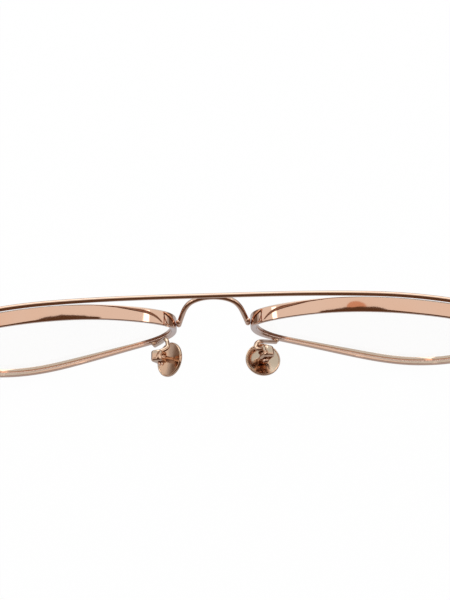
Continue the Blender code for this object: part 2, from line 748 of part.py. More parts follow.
def make_temple_tip(name, side, parent):
    """The plastic tip over the core, a flat-sided paddle with a blind hole from its front end."""
    path = TemplePath(side)
    start = TEMPLE_TO_BEND - TIP_START
    round_start = path.end - TIP_HEIGHT / 2
    distances = [start + (round_start - start) * index / TIP_STEPS for index in range(TIP_STEPS + 1)]
    round_steps = 5
    for index in range(1, round_steps + 1):
        turn = math.pi / 2 * index / (round_steps + 0.5)
        distances.append(round_start + TIP_HEIGHT / 2 * math.sin(turn))
    corner = TIP_WIDTH / 5
    outer = [path.ring(at, TIP_WIDTH, tip_height(at, start, path.end), corner) for at in distances]
    hole_end = path.end - CORE_END + SEAT_GAP
    hole_steps = 11
    inner = []
    for index in range(hole_steps):
        at = start + (hole_end - start) * index / (hole_steps - 1)
        inner.append(path.ring(at, CORE_WIDTH + 2 * CORE_GAP, CORE_HEIGHT + 2 * CORE_GAP, corner))
    bm = bmesh.new()
    loft(bm, list(reversed(outer)) + inner)
    plastic = material(name + "_plastic", TIP_BROWN, 0.2, 0.0)
    return add_object(name, bm, plastic, parent)


def pad_frame(side, swing=0.0):
    """Pad screw's middle, with the directions along it, to the back of the pad box and across."""
    pivot_x, nod = (LEFT_PIVOT_X, LEFT_BOX_NOD) if side > 0 else (RIGHT_PIVOT_X, RIGHT_BOX_NOD)
    pivot = Vector((side * pivot_x, PAD_PIVOT_SETBACK, -PAD_PIVOT_DROP))
    upright = Vector((side * math.sin(PAD_BOX_TURN), 0, math.cos(PAD_BOX_TURN)))
    across = Vector((side * math.cos(PAD_BOX_TURN), 0, -math.sin(PAD_BOX_TURN)))
    axis = upright * math.sin(nod) + Vector((0, math.cos(nod), 0))
    back = across.cross(axis) * side
    return (pivot, axis, back * math.cos(swing) + across * math.sin(swing),
            across * math.cos(swing) - back * math.sin(swing))


def pad_slot():
    """Half of the room between the pad box's ears."""
    return TAB_THICKNESS / 2 + SOLDER_GAP


def arm_route(side, foot, box_end):
    """The wire's route: up behind the lens, back over the pad and into the box."""
    pivot = pad_frame(side)[0]
    bends = []
    for nosewards, forwards, upwards in (LEFT_ARM_BENDS if side > 0 else RIGHT_ARM_BENDS):
        bends.append(pivot + Vector((-side * nosewards, -forwards, upwards)))
    bow = (foot + bends[0]) / 2 + Vector((-side * ARM_BOW, 0, ARM_BOW))
    return [foot, bow, *bends, box_end]


def pad_box_outline(pivot, back, across):
    """Outline of the pad box: round about the screw, with rounded corners at its back."""
    arcs = [
        (pivot, EAR_RADIUS, math.pi, math.tau),
        (pivot + across * (EAR_RADIUS - BOX_CORNER) + back * (BOX_REACH - BOX_CORNER), BOX_CORNER, 0.0,
         math.pi / 2),
        (pivot - across * (EAR_RADIUS - BOX_CORNER) + back * (BOX_REACH - BOX_CORNER), BOX_CORNER,
         math.pi / 2, math.pi),
    ]
    points = []
    for centre, radius, start, end in arcs:
        steps = round((end - start) / math.radians(18))
        for index in range(steps + 1):
            turn = start + (end - start) * index / steps
            points.append(centre + (across * math.cos(turn) + back * math.sin(turn)) * radius)
    return points


def make_pad_arm(name, side):
    """Foot brazed to the rim's back, bent wire and pad box, as one piece."""
    distance = OUTLINE.nose_side_at(-PAD_FOOT_DROP - LENS_CENTRE.z)
    behind = rim_depth(distance) / 2 + SOLDER_GAP
    middle = RIM_OUTER - RIM_WALL / 2
    seat = beside_outline(side, distance, middle, -behind)
    foot = beside_outline(side, distance, middle, -behind - PAD_FOOT_THICKNESS)
    pivot, axis, back, across = pad_frame(side)
    slot = pad_slot()
    width = slot + EAR_THICKNESS
    outline = pad_box_outline(pivot, back, across)
    shift = axis * width
    arm = add_object(name, extrude_outline([point - shift for point in outline], shift * 2), metal(name))
    # Room for the tab, open towards the nose
    room = EAR_RADIUS * 2
    inner = BOX_REACH - BOX_WALL
    flat = [(room, inner), (room, -room), (-room, -room), (-room, inner)]
    corners = [pivot + across * x + back * z for x, z in flat]
    inside = axis * slot
    cut = extrude_outline([point - inside for point in corners], inside * 2)
    add_boolean(arm, add_cutter(name + "_slot", cut), "DIFFERENCE")
    box_end = pivot + back * (BOX_REACH - BOX_WALL / 2) - inside
    wire = tube(open_spline(arm_route(side, foot, box_end), 18), ARM_RADIUS, 8)
    add_boolean(arm, add_cutter(name + "_wire", wire), "UNION")
    away = (foot - seat).normalized()
    plate = cylinder((seat + foot) / 2, away, PAD_FOOT_RADIUS, PAD_FOOT_THICKNESS, 12)
    add_boolean(arm, add_cutter(name + "_foot", plate), "UNION")
    # The hole is blind in the front ear, where the screw's thread ends
    bottom = slot + EAR_THICKNESS * 0.75
    middle = pivot + axis * (width * 2 - bottom) / 2
    hole = cylinder(middle, axis, PAD_SCREW_RADIUS + PIN_CLEARANCE, width * 2 + bottom, HOLE_SIDES)
    add_boolean(arm, add_cutter(name + "_hole", hole), "DIFFERENCE")
    return arm


def make_pad_screw(name, side):
    """The small screw through the pad box and the pad's tab, with its head behind."""
    pivot, axis, back, across = pad_frame(side)
    width = pad_slot() + EAR_THICKNESS
    head = width + PIN_CLEARANCE
    profile = [
        (PAD_SCREW_RADIUS, -pad_slot() - EAR_THICKNESS / 2), (PAD_SCREW_RADIUS, head),
        (PAD_SCREW_HEAD_RADIUS, head), (PAD_SCREW_HEAD_RADIUS, head + PAD_SCREW_HEAD_HEIGHT * 0.6),
        (PAD_SCREW_HEAD_RADIUS * 0.7, head + PAD_SCREW_HEAD_HEIGHT),
    ]
    return add_object(name, turned(profile, pivot, axis, across, 12), metal(name))


def make_nose_pad(name, side, swing, parent):
    """A round dished metal pad with a flat face to the nose and a tab for its screw."""
    pivot, axis, back, across = pad_frame(side, swing)
    face = -PAD_FACE_REACH
    floor = face + PAD_FLOOR
    lip = floor + PAD_LIP
    edge = (PAD_RADIUS - PAD_FACE_RADIUS) / 2
    profile = [
        (PAD_FACE_RADIUS, face), (PAD_FACE_RADIUS + edge, face + edge / 2),
        (PAD_RADIUS, lip - PAD_LIP_WIDTH / 2),
        (PAD_RADIUS - PAD_LIP_WIDTH / 3, lip), (PAD_RADIUS - PAD_LIP_WIDTH, lip),
        (PAD_RADIUS - PAD_LIP_WIDTH * 2, floor), (TAB_RADIUS * 2, floor),
    ]
    dish = add_object(name, turned(profile, pivot, back, across, 28), metal(name), parent)
    outline = []
    steps = 10
    for index in range(steps + 1):
        turn = math.pi * index / steps
        outline.append(pivot + (across * math.cos(turn) + back * math.sin(turn)) * TAB_RADIUS)
    root = -back * (PAD_FACE_REACH - PAD_FLOOR / 2)
    outline.append(pivot - across * TAB_RADIUS + root)
    outline.append(pivot + across * TAB_RADIUS + root)
    half = axis * TAB_THICKNESS / 2
    tab = extrude_outline([point - half for point in outline], half * 2)
    add_boolean(dish, add_cutter(name + "_tab", tab, parent), "UNION")
    hole = cylinder(pivot, axis, PAD_SCREW_RADIUS + PIN_CLEARANCE, TAB_THICKNESS * 2, HOLE_SIDES)
    add_boolean(dish, add_cutter(name + "_hole", hole, parent), "DIFFERENCE")
    return dish


def add_pivot(name, place):
    """An empty on a joint's axis that carries the pieces that turn about it."""
    pivot = bpy.data.objects.new(name, None)
    pivot.empty_display_size = 0.005
    pivot.location = place
    bpy.context.collection.objects.link(pivot)
    return pivot


def stand_on_origin(pivots):
    """Move everything so that the origin is under the middle of the box, at its lowest height."""
    bpy.context.view_layer.update()
    corners = []
    graph = bpy.context.evaluated_depsgraph_get()
    for shown in bpy.data.objects:
        if shown.type == "MESH" and not shown.hide_render:
            mesh = shown.evaluated_get(graph).to_mesh()
            corners += [shown.matrix_world @ vertex.co for vertex in mesh.vertices]
    low = Vector([min(corner[axis] for corner in corners) for axis in range(3)])
    high = Vector([max(corner[axis] for corner in corners) for axis in range(3)])
    shift = -Vector(((low.x + high.x) / 2, (low.y + high.y) / 2, low.z))
    for thing in bpy.data.objects:
        if thing in pivots:
            thing.location += shift
        elif thing.parent is None:
            thing.data.transform(Matrix.Translation(shift))


def main():
    for old in list(bpy.data.objects):
        bpy.data.objects.remove(old, do_unlink=True)
    pivots = []
    for word, side, swing in (("left", 1, LEFT_PAD_SWING), ("right", -1, RIGHT_PAD_SWING)):
        fold = add_pivot(word + "_hinge_axis", hinge_axis(side))
        rock = add_pivot(word + "_pad_axis", pad_frame(side)[0])
        pivots += [fold, rock]
        make_rim(word + "_rim", side)
        make_lens(word + "_lens", side)
        make_end_piece(word + "_end_piece", side)
        make_closing_block(word + "_closing_block", side)
        make_rim_screw(word + "_rim_screw", side)
        make_leaf(word + "_front_leaf", side, -1)
        make_leaf(word + "_temple_leaf", side, 1, fold)
        make_hinge_screw(word + "_hinge_screw", side)
        make_temple(word + "_temple", side, fold)
        make_temple_tip(word + "_temple_tip", side, fold)
        make_pad_arm(word + "_pad_arm", side)
        make_pad_screw(word + "_pad_screw", side)
        make_nose_pad(word + "_nose_pad", side, swing, rock)
    make_brow_bar()
    make_nose_bridge()
    stand_on_origin(pivots)


main()
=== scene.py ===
"""Polished rose-gold sunglasses with a straight brow bar over an arched lower bridge.

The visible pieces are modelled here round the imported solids, in metres and in the same frame: the
front faces -Y, the wearer's left is +X and the temples run back along +Y. The two halves of the
front are first modelled flat, with X across the lens, Y up and Z forwards, and then bent onto the
sphere on which the lens lies.
"""

import math

import bmesh
import bpy
import numpy as np
from bpy.props import FloatProperty, FloatVectorProperty, IntProperty, PointerProperty
from mathutils import Matrix, Vector


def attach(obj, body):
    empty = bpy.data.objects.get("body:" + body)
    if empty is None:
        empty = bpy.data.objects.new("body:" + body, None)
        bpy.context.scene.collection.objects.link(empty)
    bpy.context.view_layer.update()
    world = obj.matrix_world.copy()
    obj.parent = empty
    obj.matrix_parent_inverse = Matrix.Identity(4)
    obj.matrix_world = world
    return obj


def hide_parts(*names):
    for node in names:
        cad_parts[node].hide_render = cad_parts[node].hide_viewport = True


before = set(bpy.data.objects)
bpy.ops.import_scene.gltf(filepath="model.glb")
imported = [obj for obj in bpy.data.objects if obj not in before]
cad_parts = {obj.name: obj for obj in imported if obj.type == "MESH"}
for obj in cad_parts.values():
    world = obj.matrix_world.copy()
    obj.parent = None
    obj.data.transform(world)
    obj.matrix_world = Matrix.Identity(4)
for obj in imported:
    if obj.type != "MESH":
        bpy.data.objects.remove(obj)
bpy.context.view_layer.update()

bl_info = {
    "name": "Double-bridge sunglasses",
    "version": (1, 0, 0),
    "blender": (4, 5, 0),
    "location": "3D View > Sidebar > Sunglasses",
    "description": "Models the visible pieces of thin metal aviator sunglasses",
    "category": "Add Mesh",
}

BAR_CENTRE = Vector((0.0, -0.069744, 0.049530))
PICTURE = (450, 600)
SIDES = (("left", 1), ("right", -1))
ACROSS, BACK, UP = Vector((1, 0, 0)), Vector((0, 1, 0)), Vector((0, 0, 1))
QUARTER = math.pi / 2
WHITE = (1, 1, 1)

# Where the rim's depth changes, as shares of the lens's width and height from its middle
NOSE_TAPER, TOP_TAPER = (-0.42, 0.03), (-0.25, 0.42)

# Lengths below which two places count as one: while modelling, and after a cut
HAIR, MERGED = 1e-7, 1e-6

# Gap between the sunglasses and the floor
FLOOR_GAP = 0.0002

# Points between two knots of the lens's outline, and sections along each swept form
OUTLINE_STEPS, BAR_STEPS, BRIDGE_STEPS, ARM_STEPS, BLOCK_STEPS = 60, 220, 110, 90, 9
LUG_STEPS, SHAFT_STEPS, CORE_STEPS, TIP_STEPS, BORE_STEPS = 25, 90, 50, 90, 40

# Facets of the small round forms
SMALL_SIDES, SCREW_SIDES, KNUCKLE_SIDES, ARM_SIDES = 40, 48, 56, 24

# Eased edges: above which angle, and how wide on each piece
SHARP = math.radians(50)
BLOCK_EDGE = LEAF_EDGE = 0.00008
KNUCKLE_EDGE = TAB_EDGE = 0.00007
BOX_EDGE = 0.00045

# The rim screw's head, and the metal left beyond its foot and beyond its hole
CLAMP_HEAD_HEIGHT, CLAMP_FOOT_FLOOR, CLAMP_HOLE_FLOOR = 0.0005, 0.0006, 0.0003

# Lens outline seen from the front, as shares of its box, from the closing block over the nose side
LENS_OUTLINE = [
    (0.489, 0.267), (0.456, 0.374), (0.368, 0.467), (0.204, 0.500), (-0.003, 0.497),
    (-0.192, 0.469), (-0.358, 0.398), (-0.483, 0.296), (-0.500, 0.164), (-0.456, -0.072),
    (-0.303, -0.275), (-0.091, -0.434), (0.153, -0.500), (0.351, -0.382), (0.466, -0.114),
]

# Half of the lower bridge from its top to its foot, as shares of its half width, of how far its
# top lies ahead of its feet and of its height
BRIDGE_LINE = [(0.0, 1.0, 1.0), (0.35, 0.94, 0.98), (0.63, 0.79, 0.85), (0.80, 0.57, 0.62),
               (0.91, 0.29, 0.31), (1.0, 0.0, 0.0)]

# Bends of each pad arm's wire on its way to the box: nosewards of the pad screw, forwards, above
ARM_BENDS = {
    1: [(0.0010, 0.0047, -0.0013), (0.0016, 0.0036, -0.0002), (0.0014, 0.0020, 0.0008)],
    -1: [(0.0010, 0.0034, -0.0009), (0.0019, 0.0026, 0.0000), (0.0017, 0.0013, 0.0008)],
}


def amount(name, description, default, **limits):
    """A number that can be changed in the sidebar."""
    return FloatProperty(name=name, description=description, default=default, **limits)


def length(name, description, default):
    """A size in metres."""
    return amount(name, description, default, unit="LENGTH", precision=5)


def angle(name, description, degrees):
    """An angle, given in degrees."""
    return amount(name, description, math.radians(degrees), subtype="ANGLE")


def fraction(name, description, default):
    """A number from 0 to 1."""
    return amount(name, description, default, min=0.0, max=1.0)


def colour(name, description, default):
    """A colour."""
    return FloatVectorProperty(name=name, description=description, default=default,
                               subtype="COLOR", min=0.0, max=1.0)


class FrontSizes(bpy.types.PropertyGroup):
    """Sizes of the lenses, rims, bar and bridge."""
    lens_width: length("Lens width", "Width of the lens's box", 0.0580)
    lens_height: length("Lens height", "Height of the lens's box", 0.0485)
    lens_spacing: length("Lens spacing", "Gap between the lenses at the nose", 0.0187)
    lens_thickness: length("Lens thickness", "Thickness of the lens", 0.0010)
    lens_gap: length("Lens gap", "Between the lens's edge and the rim's groove", 0.00005)
    lens_bevel: length("Lens bevel", "Width of the ground bevel", 0.0006)
    lens_radius: length("Lens curve", "Radius of the sphere on which the lens lies", 0.144)
    lens_setback: length("Lens setback", "Middle of the lens behind the bar", 0.00115)
    lens_top_drop: length("Lens drop", "Top of the lens below the bar", 0.0002)
    face_wrap: angle("Face wrap", "Turn of each lens round the face", 4.3)
    rim_wall: length("Rim wall", "From the inner lips to the outer face", 0.0011)
    rim_lip: length("Rim lip", "Reach of the lips over the lens's edge", 0.00036)
    rim_depth_top: length("Rim depth, top", "Front to back along the top", 0.0034)
    rim_depth_bottom: length("Rim depth, bottom", "Front to back along the bottom", 0.0018)
    rim_depth_nose: length("Rim depth, nose", "Front to back below the pad arms", 0.00115)
    rim_crown: length("Rim crown", "Rise of the middle of the outer face", 0.00003)
    rim_upright: fraction("Rim upright", "0 is square to the lens, 1 square to the front", 0.6)
    crown_start: length("Crown start", "Where the crown begins after the split", 0.024)
    rim_rounding: length("Rim rounding", "Rounding of the outer edges", 0.00022)
    lip_rounding: length("Lip rounding", "Rounding of the inner lips", 0.00008)
    rim_split: length("Rim split", "Cut between the closing blocks", 0.0005)
    seat_gap: length("Seat gap", "Gap between pieces that seat on each other", 0.0003)
    solder_gap: length("Solder seam", "Seam where two pieces are brazed together", 0.00015)
    seam_distance: length("Seam distance", "From the split to the rim's fine seam", 0.0623)
    seam_width: length("Seam width", "Width of the rim's fine seam", 0.00024)
    seam_depth: length("Seam depth", "Depth of the rim's fine seam", 0.00035)
    bar_radius: length("Bar radius", "Radius of the brow bar's wire", 0.00056)
    bar_below_rim: length("Bar below rim", "Bar's middle below the outer face", 0.0005)
    bar_free_span: length("Bar free span", "Half of the span between the rims", 0.036)
    bridge_radius: length("Bridge radius", "Radius of the lower bridge's wire", 0.0006)
    bridge_drop: length("Bridge drop", "Top of the lower bridge below the bar", 0.0062)
    bridge_foot_drop: length("Bridge feet", "Feet of the bridge below the bar", 0.0132)
    bridge_forward: length("Bridge forward", "Top of the bridge ahead of its feet", 0.0040)
    bridge_root: length("Bridge root", "How far its feet run on into the rims", 0.0006)
    bead_radius: length("Bead radius", "Radius of the solder beads", 0.0006)
    bead_rise: length("Bead rise", "Solder beads above the bridge's feet", 0.0007)
    block_reach: length("Block reach", "Closing blocks outwards from the rim", 0.0027)
    block_depth: length("Block depth", "Closing blocks front to back", 0.0026)
    block_height: length("Block height", "Height of each closing block", 0.0021)
    rim_screw_radius: length("Rim screw", "Radius of its shank", 0.00045)
    rim_screw_head: length("Rim screw head", "Radius of its head", 0.00085)
    screw_clearance: length("Screw clearance", "Gap round a screw in its hole", 0.0001)


class HingeSizes(bpy.types.PropertyGroup):
    """Sizes of the end pieces and hinges."""
    lug_thickness: length("Lug thickness", "Thickness of the end piece's lug", 0.0013)
    lug_height: length("Lug height", "Height of the end piece's lug", 0.0036)
    lug_outset: length("Lug outset", "Middle of the lug outside the rim", 0.0033)
    lug_bend: length("Lug bend", "Radius of the lug's bend", 0.0024)
    lug_rise: length("Lug rise", "Middle of the lug above the rim's split", 0.0021)
    lug_root: length("Lug root", "Start of the lug inside the closing block", 0.0003)
    setback: length("Hinge setback", "Hinge axis behind the closing blocks", 0.0063)
    knuckle_radius: length("Knuckle radius", "Radius of the knuckles", 0.00115)
    leaf_thickness: length("Leaf thickness", "Thickness of the leaves", 0.0005)
    leaf_length: length("Leaf length", "Length of a leaf from the hinge's axis", 0.0046)
    leaf_height: length("Leaf height", "Height of the leaves and knuckles", 0.0033)
    knuckle_gap: length("Knuckle gap", "Gap between neighbouring knuckles", 0.0001)
    screw_radius: length("Hinge screw", "Radius of its shank", 0.0005)
    screw_head: length("Hinge screw head", "Radius of its head", 0.0009)
    screw_head_height: length("Screw head height", "Height of its head", 0.0004)


class TempleSizes(bpy.types.PropertyGroup):
    """Sizes of the temples and their tips."""
    to_bend: length("Length to bend", "From the hinge to the ear bend", 0.092)
    slope: angle("Slope", "Downward slope of the shaft", 8.0)
    thickness: length("Shaft thickness", "Thickness of the shaft", 0.0013)
    shaft_height: length("Shaft height", "Height where it enters the tip", 0.0024)
    taper: length("Taper", "Distance over which the shaft comes down to its height", 0.055)
    toe_in: angle("Toe-in", "Angle by which the temples close in", 4.5)
    toe_in_start: length("Toe-in start", "Where the temples begin to close in", 0.020)
    toe_in_end: length("Toe-in end", "Where the temples run straight again", 0.060)
    bend_radius: length("Ear bend radius", "Radius of the bend over the ear", 0.032)
    bend_angle: angle("Ear bend angle", "Angle of the bend over the ear", 37.0)
    tip_start: length("Tip start", "Front end of the tip before the ear bend", 0.016)
    tip_width: length("Tip width", "Width of the tip", 0.0030)
    tip_start_height: length("Tip front height", "Height of the tip's front end", 0.0036)
    tip_height: length("Tip height", "Full height of the tip", 0.0056)
    tip_swell: length("Tip swell", "Distance over which it reaches its height", 0.034)
    core_width: length("Core width", "Width of the core in the tip", 0.0010)
    core_height: length("Core height", "Height of the core in the tip", 0.0018)
    core_end: length("Core end", "End of the core before the end of the tip", 0.012)
    core_gap: length("Core gap", "Gap between the core and the tip", 0.0002)


class PadSizes(bpy.types.PropertyGroup):
    """Sizes of the pad arms, pad boxes and nose pads."""
    foot_drop: length("Foot drop", "Foot of the arm below the bar", 0.0318)
    foot_radius: length("Foot radius", "Radius of the arm's foot", 0.0009)
    foot_thickness: length("Foot thickness", "Thickness of the arm's foot", 0.0005)
    arm_radius: length("Arm radius", "Radius of the arm's wire", 0.0005)
    left_pivot_x: length("Left screw", "Left pad screw from the middle", 0.0126)
    right_pivot_x: length("Right screw", "Right pad screw from the middle", 0.0117)
    setback: length("Screw setback", "Pad screws behind the bar", 0.0087)
    drop: length("Screw drop", "Pad screws below the bar", 0.0207)
    box_turn: angle("Box turn", "Back of the pad box turned outwards", 32.0)
    left_nod: angle("Left nod", "Back of the left pad box leaning forwards", 2.5)
    right_nod: angle("Right nod", "Back of the right pad box leaning forwards", 13.0)
    ear_thickness: length("Ear thickness", "Thickness of the pad box's ears", 0.00075)
    ear_radius: length("Ear radius", "Rounding of the ears about the screw", 0.0014)
    box_reach: length("Box reach", "Back of the pad box behind the screw", 0.0026)
    box_corner: length("Box corner", "Rounding of the pad box's back", 0.0010)
    box_wall: length("Box wall", "Back wall of the pad box", 0.0011)
    screw_radius: length("Pad screw", "Radius of its shank", 0.00040)
    screw_head: length("Pad screw head", "Radius of its head", 0.00075)
    screw_head_height: length("Head height", "Height of its head", 0.0005)
    pad_radius: length("Pad radius", "Radius of the nose pad", 0.0041)
    face_radius: length("Face radius", "Radius of the pad's flat face", 0.0036)
    face_reach: length("Face reach", "Flat face of the pad from the screw", 0.0033)
    floor: length("Dish floor", "Thickness of the dished pad's floor", 0.0005)
    lip: length("Dish lip", "Lip of the pad above its floor", 0.00045)
    lip_width: length("Lip width", "Width of the pad's lip", 0.0004)
    tab_thickness: length("Tab thickness", "Thickness of the pad's tab", 0.0008)
    tab_radius: length("Tab radius", "Rounding of the tab about the screw", 0.00095)
    left_swing: angle("Left swing", "Left pad swung round its screw", 14.5)
    right_swing: angle("Right swing", "Right pad swung round its screw", -22.0)


class Finishes(bpy.types.PropertyGroup):
    """Colours of the plating, lenses and tips."""
    plating: colour("Plating", "Rose-gold plating", (0.730, 0.479, 0.352))
    plating_warm: colour("Warm plating", "Plating where it is thicker", (0.745, 0.455, 0.315))
    plating_roughness: fraction("Plating roughness", "Polish of the plating", 0.045)
    satin: colour("Satin", "Golden brown of the pads and their boxes", (0.700, 0.460, 0.320))
    satin_warm: colour("Warm satin", "Satin where it is thicker", (0.640, 0.410, 0.270))
    satin_roughness: fraction("Satin roughness", "Polish of the pads and their boxes", 0.13)
    lens_tint: colour("Lens tint", "Very pale rose of the lenses", (0.998, 0.996, 0.994))
    lens_gloss: fraction("Lens gloss", "Share of a bare lens's gloss left by the coating", 0.03)
    bevel: colour("Bevel", "Ground bevel of the lenses", (0.90, 0.76, 0.69))
    bevel_shade: colour("Bevel shade", "Ground bevel where it is darker", (0.80, 0.64, 0.57))
    bevel_reach: length("Bevel reach", "Half of the ground strip seen in the rims", 0.00030)
    tip_dark: colour("Tip, dark", "Dark brown of the tips", (0.045, 0.016, 0.008))
    tip_amber: colour("Tip, amber", "Amber mottling of the tips", (0.270, 0.095, 0.028))


class StageSettings(bpy.types.PropertyGroup):
    """Camera, floor and lights."""
    camera_pitch: angle("Camera pitch", "Camera leaning back from straight above", 16.15)
    camera_tilt: angle("Camera tilt", "Camera leaning sideways", -1.08)
    camera_roll: angle("Camera roll", "Turn of the picture", -1.68)
    camera_distance: length("Camera distance", "From the middle of the bar", 0.430)
    camera_scale: amount("Picture scale", "Pixels per metre at the bar", 4450.0)
    camera_aim: FloatVectorProperty(name="Aim", description="Bar's middle in the picture",
                                    size=2, default=(211.5, 295.65))
    floor_size: length("Floor size", "Side of the floor", 6.0)
    floor_glow: fraction("Floor glow", "Share of the floor that stays white", 0.96)
    studio_dark: colour("Dark studio", "Dim brown room behind", (0.12, 0.065, 0.035))
    studio_copper: colour("Copper card", "Card that the right rim mirrors", (0.78, 0.45, 0.31))
    studio_card: colour("Grey card", "Card that the lower rims mirror", (0.74, 0.92, 1.0))
    floor_card: colour("Floor card", "Card that the backs of the rims mirror", (0.50, 0.53, 0.58))
    # Painted highlights: the front glow and the side glow are bright parts of the world seen only
    # in reflections; they light nothing. The front lamp is a real lamp.
    front_glow: amount("Front glow", "Brightness of the room low in front", 1.35, min=0.0)
    front_lamp: amount("Front lamp", "Power of the wide lamp in front, in watts", 1.6, min=0.0)
    side_glow: amount("Side glow", "Brightness of the tall side windows", 3.0, min=0.0)


class Fineness(bpy.types.PropertyGroup):
    """How many facets the round forms get."""
    rim_steps: IntProperty(name="Rim steps", description="Sections round each rim", default=260)
    wire_sides: IntProperty(name="Wire sides", description="Sides of a round wire", default=28)
    turned_sides: IntProperty(name="Turned sides", description="Sides of a pad", default=72)


def smooth_step(value, start, end, low=0.0, high=1.0):
    """Low up to the start, high from the end, and an even curve between."""
    share = min(max((value - start) / (end - start), 0.0), 1.0)
    return low + (high - low) * share * share * (3 - 2 * share)


def arc(centre, radius, start, end, count=24):
    """Points on a flat arc between two angles."""
    return [(centre[0] + radius * math.cos(turn), centre[1] + radius * math.sin(turn))
            for turn in np.linspace(start, end, count)]


def oblong(width, height):
    """Corners of an oblong round the origin."""
    x, y = width / 2, height / 2
    return [(x, y), (-x, y), (-x, -y), (x, -y)]


def mirrored(half):
    """A line in the front that runs on from its last point as its own mirror image."""
    other = [Vector((-point.x, point.y, point.z)) for point in reversed(half[:-1])]
    return [point + BAR_CENTRE for point in half + other]


class Line:
    """A fine line of points, read by the distance along it."""

    def __init__(self, points):
        self.points = np.array([tuple(point) for point in points], float)
        spans = np.linalg.norm(np.diff(self.points, axis=0), axis=1)
        self.at = np.concatenate([[0.0], np.cumsum(spans)])
        self.length = self.at[-1]

    def point(self, distance):
        """Place at a distance from the line's start."""
        return Vector([np.interp(distance, self.at, column) for column in self.points.T])

    def even(self, count):
        """Evenly spaced points along the line."""
        return [self.point(distance) for distance in np.linspace(0.0, self.length, count)]


def closed_spline(knots, per_span):
    """Close points along the smooth closed curve through the knots."""
    ahead = np.roll(knots, -1, axis=0)
    steps = np.linalg.norm(ahead - knots, axis=1)
    before = np.roll(steps, 1)
    slopes = (ahead - knots) / steps[:, None]
    ring = np.eye(len(knots))
    matrix = (np.diag(2 * (before + steps)) + np.roll(ring, -1, axis=1) * before[:, None]
              + np.roll(ring, 1, axis=1) * steps[:, None])
    bends = np.linalg.solve(matrix, 6 * (slopes - np.roll(slopes, 1, axis=0)))
    shares = np.arange(per_span)[:, None] / per_span
    points = []
    for i, step in enumerate(steps):
        bend, next_bend = bends[i], bends[(i + 1) % len(knots)]
        near, far = step * (1 - shares), step * shares
        points.append((bend * near ** 3 + next_bend * far ** 3) / (6 * step)
                      + (knots[i] / step - bend * step / 6) * near
                      + (ahead[i] / step - next_bend * step / 6) * far)
    return np.vstack(points)


def open_spline(knots, count, per_span=40):
    """Evenly spaced points on a smooth open curve through the knots."""
    knots = np.array([tuple(knot) for knot in knots], float)
    padded = np.vstack([2 * knots[0] - knots[1], knots, 2 * knots[-1] - knots[-2]])
    share = np.arange(per_span)[:, None] / per_span
    fine = [0.5 * (2 * start + (end - before) * share
                   + (2 * before - 5 * start + 4 * end - after) * share ** 2
                   + (3 * start - before - 3 * end + after) * share ** 3)
            for before, start, end, after in zip(padded, padded[1:], padded[2:], padded[3:])]
    return Line(np.vstack([*fine, knots[-1]])).even(count)


